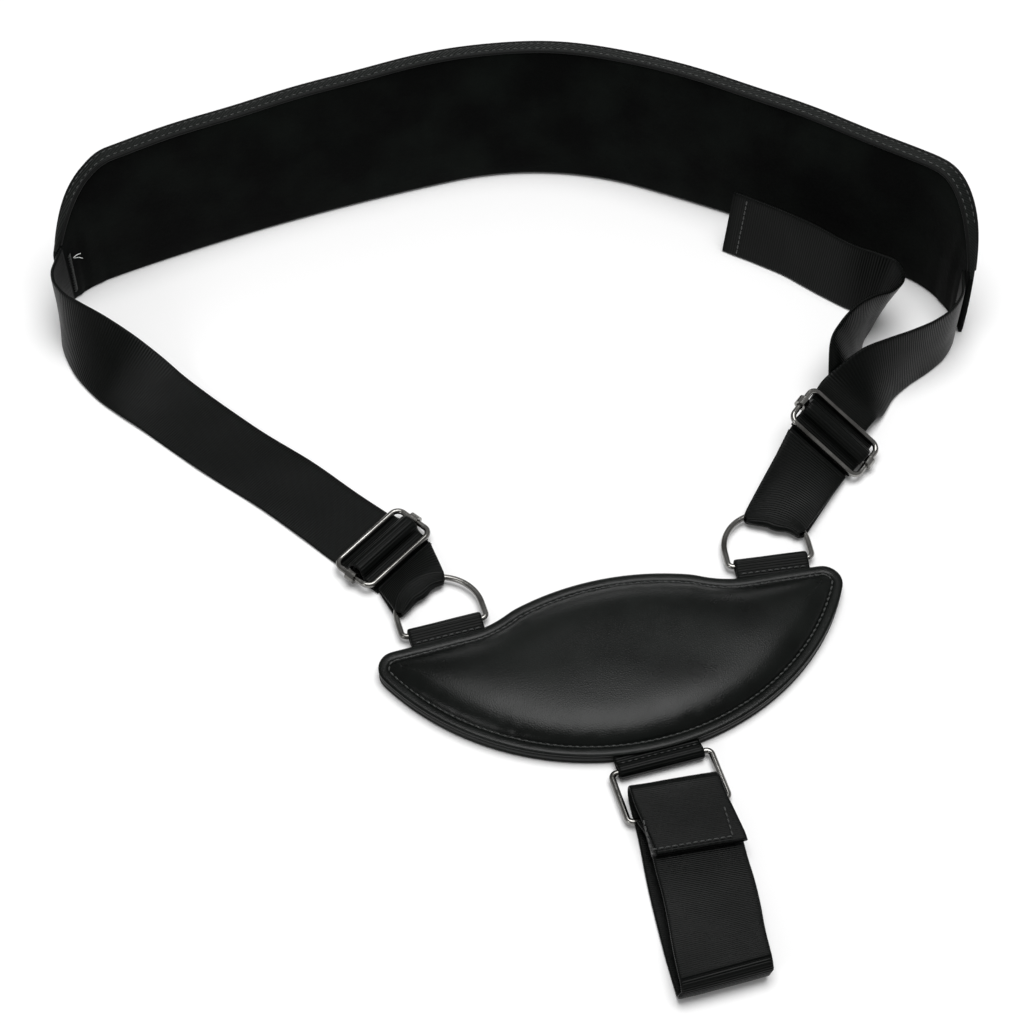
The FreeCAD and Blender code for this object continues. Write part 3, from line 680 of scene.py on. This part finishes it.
# ---------------- side webbing
# Each route is (x, y, height of the lower edge, roll in degrees), from the band or to the tail's end.
LEFT_ROUTE = [
    (-195.0, 118.5, 2.0, 92.0),
    (-196.5, 112.0, 1.0, 92.0),
    (-197.3, 106.0, 0.5, 92.0),
    (-196.6, 100.0, 0.0, 88.0),
    (-193.5, 92.5, 0.0, 80.0),
    (-187.8, 85.5, 0.0, 68.0),
    (-180.5, 79.0, 0.0, 52.0),
    (-170.5, 72.0, 0.0, 33.0),
    (-159.5, 65.0, 0.0, 16.0),
    (-146.5, 55.5, 0.0, 3.0),
    (-120.0, 33.5, 0.0, 0.0),
]
RIGHT_ROUTE = [
    (194.5, 106.0, 1.5, 90.0),
    (193.5, 100.5, 1.5, 90.0),
    (192.0, 92.5, 1.0, 90.0),
    (187.0, 84.0, 0.5, 89.0),
    (179.0, 77.0, 0.0, 87.0),
    (170.0, 71.0, 0.0, 83.0),
    (160.5, 64.5, 0.5, 74.0),
    (152.0, 57.5, 1.5, 56.0),
]
TAIL_ROUTE = [
    (142.5, 64.5, 4.0, 55.8),
    (145.0, 75.0, 2.0, 66.0),
    (149.0, 85.0, 1.0, 80.0),
    (154.0, 93.0, 0.5, 94.0),
    (160.0, 99.0, 0.0, 104.0),
    (163.5, 105.5, 0.0, 110.0),
    (162.5, 111.0, 0.0, 109.0),
    (156.5, 114.8, 0.0, 106.0),
    (149.0, 118.5, 0.0, 104.0),
    (140.5, 124.5, 0.0, 103.0),
    (123.0, 138.0, 0.0, 102.0),
    (97.0, 153.0, 0.0, 102.0),
]


def strap_stations(route, half_width, inside):
    """Stations of a strap on a route; inside is 1 or -1 for the side that its upper edge leans to."""
    flat = [Vector((x, y, 0.0)) for x, y, z, roll in route]
    stations = []
    for index, (x, y, z, roll) in enumerate(route):
        heading = direction_at(flat, index)
        side = Vector((-heading.y, heading.x, 0.0)) * inside
        tilt = math.radians(roll)
        across = (side * math.cos(tilt) + UP * math.sin(tilt)) * half_width
        lift = WEBBING / 2.0 * abs(math.cos(tilt))
        centre = Vector((x, y, z + abs(half_width) * math.sin(tilt) + lift)) + SHIFT
        stations.append((centre, across))
    return stations


UNDER = WEBBING / 2.0 - 4.7  # mid plane of the running webbing under an adjuster
FRAME_FILL = 16.4  # half width of the webbing where it is pressed flat inside an adjuster


def in_slider(slider, route, aside=0.0):
    """Stations in an adjuster's axes: (x, z, half width), set aside of its mid line."""
    return [(slider.point(x, aside, z), slider.way(0.0, half, 0.0)) for x, z, half in route]


def ripple(amplitude, pitch, seed):
    """A slow unevenness of slack webbing."""
    def shape(along, share):
        place_on = Vector((along / pitch, share * 0.8, seed))
        return amplitude * noise.noise(place_on)
    return shape


left_run = strap_stations(LEFT_ROUTE, HALF, 1)
left_run += in_slider(LEFT_SLIDER, [(-56.0, UNDER, HALF), (-30.0, UNDER, HALF),
                                    (-12.0, UNDER, FRAME_FILL), (11.5, UNDER, FRAME_FILL)])
left_web = ribbon("left_side_webbing", left_run, WEB, parts=8, shape=ripple(0.45, 22.0, 1.0))
place(left_web, "strap", "webbing", "left_webbing")

right_run = strap_stations(RIGHT_ROUTE, -HALF, -1)
right_run += in_slider(RIGHT_SLIDER, [(-21.0, UNDER, 14.0), (-11.0, UNDER, 14.0)], -2.6)
right_run += in_slider(RIGHT_SLIDER, [(0.0, UNDER, HALF), (12.5, UNDER, 15.2)])
right_web = ribbon("right_side_webbing", right_run, WEB, parts=8, shape=ripple(0.3, 18.0, 2.0))
place(right_web, "strap", "webbing", "right_webbing")

tail_level = UNDER - WEBBING - 0.8
tail_run = in_slider(RIGHT_SLIDER, [(-22.0, tail_level, -12.5)], -2.6)
tail_run += strap_stations(TAIL_ROUTE, HALF, 1)
tail = ribbon("free_tail", tail_run, WEB, parts=8, shape=ripple(0.5, 16.0, 3.0))
place(tail, "strap", "webbing", "right_tail")


# ---------------- adjusters
def hump(name, slider, inner, foot, body, node, half=FRAME_FILL, thick=WEBBING):
    """Webbing that climbs over an adjuster's centre bar, its inside this far from the bar's axis."""
    radius = inner + thick / 2.0
    route = [(-9.6, foot, half), (-7.2, foot + 0.15, half), (-radius - 0.9, foot + 1.2, half)]
    for step in range(9):
        angle = math.pi * (1.0 - step / 8.0)
        route.append((radius * math.cos(angle), radius * math.sin(angle), half))
    route += [(radius + 0.9, foot + 1.2, half), (7.2, foot + 0.15, half), (9.6, foot, half)]
    made = ribbon(name, in_slider(slider, route), WEB, thick, parts=4, shape=ripple(0.12, 9.0, 5.0))
    place(made, body, "webbing", node)


OVER_BAR = (3.0, UNDER + 1.5)  # the webbing seen in an adjuster: (inside radius, level of its feet)
ON_BAR = (1.35, UNDER + 1.1)  # the webbing next to the bar, under it
ON_BAR_SIZE = (15.6, 1.1)  # its half width and thickness
hump("left_webbing_hump", LEFT_SLIDER, *OVER_BAR, "left_bar", "left_webbing_bight")
hump("left_sewn_end", LEFT_SLIDER, *ON_BAR, "left_bar", "left_webbing_end", *ON_BAR_SIZE)
hump("right_webbing_hump", RIGHT_SLIDER, *OVER_BAR, "right_bar", "right_webbing_bight")
hump("right_tail_hump", RIGHT_SLIDER, *ON_BAR, "right_bar", "right_tail_bight", *ON_BAR_SIZE)

# ---------------- webbing turned at the D rings
DEE_ARCH = 17.3  # radius of a D ring's arch
DEE_STRAIGHT = 7.7  # from its bar to the arch's centre
WRAP = 2.1  # mid line of the webbing's turn round the wire
FOLD_IN = 2.6  # the fold reaches this far inside the arch at its edges
FOLD_BELLY = 4.2  # and this much further in its middle
FOLDED_THICK = 1.25
LINK_START = 11.5  # from the adjuster's middle
LAYER_STEPS = 16
TURN_STEPS = 12


def turned_webbing(name, slider, dee, middle, sweep, body, node):
    """Webbing from an adjuster round the arch of a D ring and back.

    The arch is covered from middle - sweep to middle + sweep, in degrees from the ring's X.
    """
    near = HALF - 0.4
    back = UNDER + WEBBING + 0.35
    centre = Vector((0.0, DEE_STRAIGHT, 0.0))
    columns = []
    for share in ROUND:
        angle = math.radians(middle - sweep * share)
        out = Vector((math.cos(angle), math.sin(angle), 0.0))
        edge = 0.7 * (0.55 * math.sin(7.0 * share + 0.6) + 0.35 * math.sin(3.1 * share + 2.0))
        column = []
        for layer, level in ((-1.0, UNDER), (1.0, back)):
            leg = []
            spot = centre + out * (DEE_ARCH + 0.3)
            first = slider.point(LINK_START, share * near, level)
            last = dee.point(spot.x, spot.y, layer * (WRAP + 0.15))
            for step in range(LAYER_STEPS):
                part = step / LAYER_STEPS
                point = first.lerp(last, part)
                gather = math.sin(math.pi * min(1.0, part * 1.1)) * part * part
                wave = 0.9 * math.sin(6.5 * share + 2.2 * part + layer)
                leg.append(point + UP * (gather * (0.55 * wave + 0.35 * layer)))
            column.append(leg)
        turn_points = []
        for step in range(TURN_STEPS + 1):
            swing = math.pi * step / TURN_STEPS
            inward = math.sin(swing) * (FOLD_IN + FOLD_BELLY * (1.0 - share * share) + edge)
            spot = centre + out * (DEE_ARCH - inward)
            turn_points.append(dee.point(spot.x, spot.y, -WRAP * math.cos(swing)))
        columns.append(column[0] + turn_points + column[1][::-1])
    rows = [[column[row] for column in columns] for row in range(len(columns[0]))]
    along = lengths_along([row[len(row) // 2] for row in rows])
    made = cloth(name, rows, WEB, FOLDED_THICK, along, near)
    place(made, body, "webbing", node)


turned_webbing("left_folded_webbing", LEFT_SLIDER, LEFT_DEE, 118.0, 50.0,
               "left_turn", "left_webbing_turn")
turned_webbing("right_folded_webbing", RIGHT_SLIDER, RIGHT_DEE, 62.0, 48.0,
               "right_turn", "right_webbing_turn")

# ---------------- crescent
TIP = 94.5  # half the crescent's length
COVER = 1.4  # thickness of its covers
BOARD_TOP = 4.6  # heights above the floor
BORDER_TOP = 6.0
DOME_TOP = 12.5


def arc_through(a, b, c, steps):
    """Points of the circle through three points, without the last."""
    (ax, ay), (bx, by), (cx, cy) = a, b, c
    d = 2.0 * (ax * (by - cy) + bx * (cy - ay) + cx * (ay - by))
    ux = ((ax * ax + ay * ay) * (by - cy) + (bx * bx + by * by) * (cy - ay)
          + (cx * cx + cy * cy) * (ay - by)) / d
    uy = ((ax * ax + ay * ay) * (cx - bx) + (bx * bx + by * by) * (ax - cx)
          + (cx * cx + cy * cy) * (bx - ax)) / d
    radius = math.hypot(ax - ux, ay - uy)
    start = math.atan2(ay - uy, ax - ux)
    end = math.atan2(cy - uy, cx - ux)
    middle = math.atan2(by - uy, bx - ux)
    sweep = (end - start) % (2.0 * math.pi)
    if (middle - start) % (2.0 * math.pi) > sweep:
        sweep -= 2.0 * math.pi
    return [(ux + radius * math.cos(start + sweep * step / steps),
             uy + radius * math.sin(start + sweep * step / steps)) for step in range(steps)]


def straight(a, b, steps):
    return [(a[0] + (b[0] - a[0]) * step / steps, a[1] + (b[1] - a[1]) * step / steps)
            for step in range(steps)]


def crescent_outline():
    """The crescent's edge, clockwise from the left end of its crown."""
    neck, shoulder = 0.40 * TIP, 0.57 * TIP
    tip_high = (0.947 * TIP, 6.6)
    tip_low = (0.995 * TIP, -5.0)
    edge = arc_through((-neck, 14.6), (0.0, 21.3), (neck, 14.6), 46)
    edge += arc_through((neck, 14.6), (0.48 * TIP, 10.9), (shoulder, 8.6), 12)
    edge += straight((shoulder, 8.6), tip_high, 24)
    edge += arc_through(tip_high, (TIP, 1.5), tip_low, 10)
    edge += arc_through(tip_low, (0.0, -61.2), (-tip_low[0], tip_low[1]), 130)
    edge += arc_through((-tip_low[0], tip_low[1]), (-TIP, 1.5), (-tip_high[0], tip_high[1]), 10)
    edge += straight((-tip_high[0], tip_high[1]), (-shoulder, 8.6), 24)
    edge += arc_through((-shoulder, 8.6), (-0.48 * TIP, 10.9), (-neck, 14.6), 12)
    return [Vector((x, y, 0.0)) for x, y in edge]


outline = crescent_outline()
for _ in range(2):
    outline = [(outline[index - 1] + outline[index] * 2.0 + outline[(index + 1) % len(outline)]) / 4.0
               for index in range(len(outline))]


def edge_height(x, upper):
    """Height of the outline's upper or lower edge at a place along the crescent."""
    best = None
    for index in range(len(outline)):
        a, b = outline[index - 1], outline[index]
        if (a.x - x) * (b.x - x) <= 0.0 and abs(a.x - b.x) > 1e-9:
            y = a.y + (b.y - a.y) * (x - a.x) / (b.x - a.x)
            if best is None or (y > best) == upper:
                best = y
    return best if best is not None else 0.0


SPINE_SHRINK = 0.80  # the middle line is this much as long as the crescent


def spine_point(point):
    """The middle of the crescent opposite a point of its edge."""
    x = point.x * SPINE_SHRINK
    return Vector((x, 0.5 * (edge_height(x, True) + edge_height(x, False)), 0.0))


def smoothstep(low, high, value):
    share = min(1.0, max(0.0, (value - low) / (high - low)))
    return share * share * (3.0 - 2.0 * share)


STITCH_IN = 4.3  # the row of stitches runs this far inside the edge


def tree_of(points):
    tree = kdtree.KDTree(len(points))
    for index, point in enumerate(points):
        tree.insert(point, index)
    tree.balance()
    return tree


BELLY_Y = -5.0  # the belly's arc hangs from this height
upper_tree = tree_of([point for point in outline if point.y > BELLY_Y])
lower_tree = tree_of([point for point in outline if point.y <= BELLY_Y])


def filled(distance):
    """How far the foam has risen at a distance from one edge, 0 to 1."""
    return 1.0 - math.exp(-max(0.0, distance - STITCH_IN - 0.3) / 6.2)


def cover_height(inside, point):
    """Height of the front cover at a distance inside its edge."""
    lip = -0.5 * (1.0 - smoothstep(0.0, 0.9, inside))
    groove = -0.75 * math.exp(-((inside - STITCH_IN) / 0.8) ** 2)
    rise = filled(upper_tree.find(point)[2]) * filled(lower_tree.find(point)[2])
    pucker = 0.10 * noise.noise(Vector((point.x * 0.35, point.y * 0.35, 2.0)))
    pucker *= math.exp(-((inside - STITCH_IN - 2.0) / 3.0) ** 2) * 3.0
    soft = 0.35 * noise.noise(Vector((point.x * 0.03, point.y * 0.05, 7.0))) * rise
    return BORDER_TOP + lip + groove + rise * (DOME_TOP - BORDER_TOP - 0.3) + pucker + soft


# Rows down the side of the cover, as (distance inside the outline, height), then rings over its top.
SIDE_ROWS = [(1.5, BOARD_TOP - 0.1), (0.25, BOARD_TOP - 0.05), (0.0, BOARD_TOP + 0.25),
             (0.0, BORDER_TOP - 0.9)]
RINGS = [0.0, 0.25, 0.6, 1.0, 1.8, 2.6, 3.2, 3.7, 4.0, 4.3, 4.6, 4.9, 5.4, 6.2, 7.2, 8.6, 10.4]
INNER_RINGS = 12
normals_in = []
count = len(outline)
for index in range(count):
    forward = (outline[(index + 1) % count] - outline[index - 1]).normalized()
    normals_in.append(Vector((forward.y, -forward.x, 0.0)))


def ring_of(inside):
    """The outline moved inward, toward the crescent's middle line."""
    ring = []
    for index, point in enumerate(outline):
        middle = spine_point(point)
        reach = (middle - point).length
        way = (middle - point).normalized()
        mixed = (normals_in[index] * 0.75 + way * 0.25).normalized()
        ring.append(point + mixed * min(inside, reach * 0.6))
    return ring


def laid(rings):
    """Points and flat layout of rings of (spot, height) in the crescent's axes."""
    points = [CRESCENT.point(spot.x, spot.y, height) for ring in rings for spot, height in ring]
    layout = [(spot.x, spot.y) for ring in rings for spot, height in ring]
    return points, layout


def level_rings(rows):
    return [[(spot, height) for spot in ring_of(inside)] for inside, height in rows]


cover_rings = level_rings(SIDE_ROWS)
cover_rings += [[(spot, cover_height(inside, spot)) for spot in ring_of(inside)] for inside in RINGS]
last_ring = ring_of(RINGS[-1])
spine = [spine_point(point) for point in outline]
for step in range(1, INNER_RINGS + 1):
    share = step / INNER_RINGS
    ring = []
    for point, middle in zip(last_ring, spine):
        spot = point.lerp(middle, share)
        inside = RINGS[-1] + (middle - point).length * share
        ring.append((spot, cover_height(inside, spot)))
    cover_rings.append(ring)
cover_points, cover_layout = laid(cover_rings)
front = mesh_piece("crescent_cover", cover_points,
                   grid_faces(len(cover_rings), count, flip=True), LEATHER, cover_layout)
weld = front.modifiers.new("weld", "WELD")
weld.merge_threshold = 0.05 * MM
place(front, "strap", "coated", "crescent_front_cover", "crescent_foam", "crescent_board")

BACK_ROWS = [(3.0, BOARD_TOP - 0.2), (0.9, BOARD_TOP - 0.35), (0.35, BOARD_TOP - 0.8),
             (0.2, BOARD_TOP - 1.6), (0.3, COVER + 0.5), (0.75, COVER + 0.05), (0.3, COVER - 0.25),
             (0.1, COVER / 2.0), (0.35, 0.2), (1.0, 0.0), (8.0, 0.0), (16.0, 0.0)]
back_rings = level_rings(BACK_ROWS) + [[(middle, 0.0) for middle in spine]]
back_points, back_layout = laid(back_rings)
back = mesh_piece("crescent_back", back_points,
                  grid_faces(len(back_rings), count, flip=True), EDGE_PAINT, back_layout)
place(back, "strap", "backing", "crescent_back_cover")

seam = [CRESCENT.point(p.x, p.y, cover_height(STITCH_IN, p) + 0.15) for p in ring_of(STITCH_IN)]
sewn = stitching("crescent_stitch_row", resampled(seam, 2.8, closed=True), UP, 2.1, 0.34, 0.12)
place(sewn, "strap", "thread", "crescent_stitching")


# ---------------- tabs
TAB_LEVEL = COVER + 1.6  # height at which the tabs go into the crescent
TAB_BORE = 1.45  # inside radius of a tab's fold
TAB_SEWN = 8.0  # length of each tab inside the crescent


def tab(name, axes, side, standoff, half, node):
    """Webbing folded round a ring's bar, its two layers sewn into the crescent."""
    drop = TAB_LEVEL - axes.origin.z
    fold = TAB_BORE + WEBBING / 2.0
    inner = -standoff - TAB_SEWN
    pinch = -standoff + 0.6
    gap = WEBBING / 2.0 + 0.05
    route = [(inner, drop + gap), (pinch, drop + gap), (0.5 * pinch, drop + gap + 0.9)]
    for step in range(9):
        angle = math.pi * (0.5 - step / 8.0)
        route.append((fold * math.cos(angle), fold * math.sin(angle)))
    route += [(0.5 * pinch, drop - gap - 0.5), (pinch, drop - gap), (inner, drop - gap)]
    stations = [(axes.point(0.0, side * y, z), axes.way(half, 0.0)) for y, z in route]
    made = ribbon(name, stations, WEB, parts=4, shape=ripple(0.15, 8.0, 6.0))
    place(made, "strap", "webbing", node)
    line = [axes.point(-half + 1.5 + (2.0 * half - 3.0) * step / 20.0, side * (pinch + 1.1),
                       drop + gap + WEBBING / 2.0 + 0.32) for step in range(21)]
    place(stitching(name + "_tack", resampled(line, 2.6), UP, 2.0, 0.28), "strap", "thread")


tab("left_ring_tab", LEFT_DEE, 1, 6.5, 15.0, "left_tab")
tab("right_ring_tab", RIGHT_DEE, 1, 6.5, 15.0, "right_tab")
tab("lower_ring_tab", RING, -1, 4.3, 17.0, "lower_tab")

# ---------------- hanger loop
BACK_LEVEL = 0.75 - LOOP.origin.z  # mid planes of its layers, from the ring's axis
FRONT_LEVEL = 3.9
FLAP_LEVEL = 7.5
LOOP_HALF = 17.3
LOOP_REACH = 71.0  # from the ring to the centre of the bottom bend
BOTTOM = 5.2  # radius of the bottom bend
FOLD_START = 6.0
LOOP_THICK = 1.45
BOTTOM_TURN = 5.5  # degrees from the strap's own square
FLAP_STEPS = 4  # the first stations of the route are the flap's


BEND_STEPS = 10


def bend(centre, radius, start, end):
    """An arc from one angle to another, in degrees."""
    points = []
    for step in range(BEND_STEPS + 1):
        angle = math.radians(start + (end - start) * step / BEND_STEPS)
        points.append((centre[0] + radius * math.cos(angle), centre[1] + radius * math.sin(angle)))
    return points


fold_radius = (FLAP_LEVEL - BACK_LEVEL) / 2.0
# (distance out from the ring, level), from the flap's end round the ring, the back and the front.
route = [(21.0, FLAP_LEVEL - 0.15), (17.0, FLAP_LEVEL - 0.1), (8.0, FLAP_LEVEL), (0.0, FLAP_LEVEL)]
route += bend((-FOLD_START, BACK_LEVEL + fold_radius), fold_radius, 90, 270)
route += [(8.0, BACK_LEVEL), (30.0, BACK_LEVEL), (55.0, BACK_LEVEL)]
route += bend((LOOP_REACH, BACK_LEVEL + BOTTOM), BOTTOM, -90, 90)
route += [(60.0, 7.2), (48.0, 6.0), (36.0, 4.6), (26.0, FRONT_LEVEL), (12.0, FRONT_LEVEL),
          (4.0, FRONT_LEVEL)]


def hanger_station(step, outward, height):
    """A station of the hanger strap: the front lies to one side and the back to the other."""
    bottom = smoothstep(35.0, LOOP_REACH, outward)
    if step < FLAP_STEPS:
        aside = 3.3 * smoothstep(-FOLD_START, 21.0, outward)
    elif height < FRONT_LEVEL - 0.1 or outward < FOLD_START:
        aside = -1.8 * smoothstep(4.0, 50.0, outward) * (1.0 - 0.5 * bottom)
    else:
        aside = 2.3 * (1.0 - bottom)
    swing = math.radians(BOTTOM_TURN) * bottom
    across = LOOP.way(LOOP_HALF * math.cos(swing), LOOP_HALF * math.sin(swing))
    return LOOP.point(aside, -outward + 2.5 * bottom, height), across


hanger_stations = [hanger_station(step, outward, height)
                   for step, (outward, height) in enumerate(route)]


def hanger_shape(along, share):
    """The soft dents of a handled loop."""
    return 0.35 * noise.noise(Vector((along / 17.0, share * 1.2, 9.0)))


hanger = ribbon("hanger_strap", hanger_stations, LOOP_WEB, LOOP_THICK, parts=5,
                shape=hanger_shape)
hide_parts("loop_strap", "loop_flap")
pivot = Vector(JOINTS["flap_open"]["pos_m"])
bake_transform(hanger)


PATCH_OFF = 1.2  # a patch's mid plane from its strap's


def patch(name, level, made, body, slot, node):
    """A rectangle of fastener tape sewn flat on the loop or the flap."""
    stations = [(LOOP.point(0.0, -outward, level), LOOP.way(LOOP_HALF - 2.0, 0.0))
                for outward in (5.0, 10.0, 15.0, 20.0)]
    place(ribbon(name, stations, made, 0.85, parts=3), body, slot, node)


patch("loop_side_patch", FRONT_LEVEL + PATCH_OFF, PILE, "loop", "pile", "pile_patch")
patch("hook_side_patch", FLAP_LEVEL - PATCH_OFF, HOOKS, "flap", "hook", "hook_patch")

flap_top = FLAP_LEVEL + 0.75
box_line = [LOOP.point(x, -y, flap_top + 0.1) for x, y in
            [(-15.3, 6.0), (-15.3, 19.0), (15.3, 19.0), (15.3, 6.0)]]
flap_seam = stitching("flap_stitch_row", resampled(box_line, 2.6), UP, 2.0, 0.26)
place(flap_seam, "flap", "thread")

# ---------------- hem, strays, metal
tail_end = tail_run[-1]
tail_before = tail_run[-2]
tail_way = (tail_before[0] - tail_end[0]).normalized()
tail_out = tail_end[1].cross(tail_way).normalized()
if tail_out.y > 0.0:
    tail_out = -tail_out
hem_line = [tail_end[0] + tail_way * 7.0 + tail_out * 0.85 + tail_end[1] * (0.9 - 1.8 * step / 12.0)
            for step in range(13)]
hem = stitching("tail_hem_row", resampled(hem_line, 2.6), tail_out, 2.0, 0.28)
place(hem, "strap", "thread")

# Two loose ends of thread by the left seam: (name, root, tip), each as (distance along, height).
STRAYS = [("upper", (6.0, 26.5), (10.0, 26.8)), ("lower", (6.5, 26.0), (10.5, 23.5))]
STRAY_OFF = 2.2  # they stand off the lining by this much at the root
for name, (root_along, root_height), (tip_along, tip_height) in STRAYS:
    root = band_surface(root_along, -STRAY_OFF, root_height)
    tip = band_surface(tip_along, -STRAY_OFF - 0.8, tip_height)
    middle = (root + tip) / 2.0 + UP * 0.5
    stray = tube(f"stray_thread_{name}", smooth_between([root, middle, tip], 6), 0.16, STRAY, sides=6)
    place(stray, "strap", "thread")

for node in ("left_d_ring", "right_d_ring", "lower_ring", "left_slider_frame", "left_slider_bar",
             "right_slider_frame", "right_slider_bar"):
    piece = frame["nodes"][node]
    piece.data.materials.clear()
    piece.data.materials.append(METAL)

# ---------------- floor, light, camera
FLOOR = 6.0  # half its side, in metres, as are all the sizes below
FLOOR_LEVEL = -0.0002
corners = [(x * FLOOR, y * FLOOR, FLOOR_LEVEL) for x, y in ((-1, -1), (1, -1), (1, 1), (-1, 1))]
floor_mesh = bpy.data.meshes.new("floor")
floor_mesh.from_pydata(corners, [], [(0, 1, 2, 3)])
floor = bpy.data.objects.new("floor", floor_mesh)
bpy.context.scene.collection.objects.link(floor)
paper, paper_shader = new_material("paper", (0.93, 0.93, 0.93), 0.9)
bumped(paper, paper_shader, [(noise_of(paper, in_space(paper), 400.0), 0.05, 0.1)])
floor_mesh.materials.append(paper)


def area_light(name, spot, size, power):
    """A round soft light aimed at the middle of the strap."""
    lamp = bpy.data.lights.new(name, "AREA")
    lamp.shape = "DISK"
    lamp.size = size
    lamp.energy = power
    made = bpy.data.objects.new(name, lamp)
    made.location = spot
    made.rotation_euler = (-Vector(spot)).to_track_quat("-Z", "Y").to_euler()
    bpy.context.scene.collection.objects.link(made)


area_light("overhead", (0.12, 0.05, 1.5), 1.2, 21.5)
area_light("front_left", (-0.9, -1.0, 0.6), 0.6, 3.0)
area_light("back_strip", (0.0, 1.6, 0.45), 0.7, 2.5)
world = bpy.data.worlds.new("studio")
world.use_nodes = True
world.node_tree.nodes["Background"].inputs["Color"].default_value = (1.0, 1.0, 1.0, 1.0)
world.node_tree.nodes["Background"].inputs["Strength"].default_value = 0.30
bpy.context.scene.world = world
bpy.context.scene.view_settings.view_transform = "Standard"

ELEVATION = math.radians(52.0)
DISTANCE = 0.960
look_at = SHIFT * MM
camera_data = bpy.data.cameras.new("camera")
camera_data.lens = 81.7
camera_data.sensor_width = 36.0
camera_data.clip_start = 0.01
camera = bpy.data.objects.new("camera", camera_data)
camera.location = look_at + Vector((0.0, -math.cos(ELEVATION), math.sin(ELEVATION))) * DISTANCE
camera.rotation_euler = (look_at - camera.location).to_track_quat("-Z", "Y").to_euler()
bpy.context.scene.collection.objects.link(camera)
bpy.context.scene.camera = camera
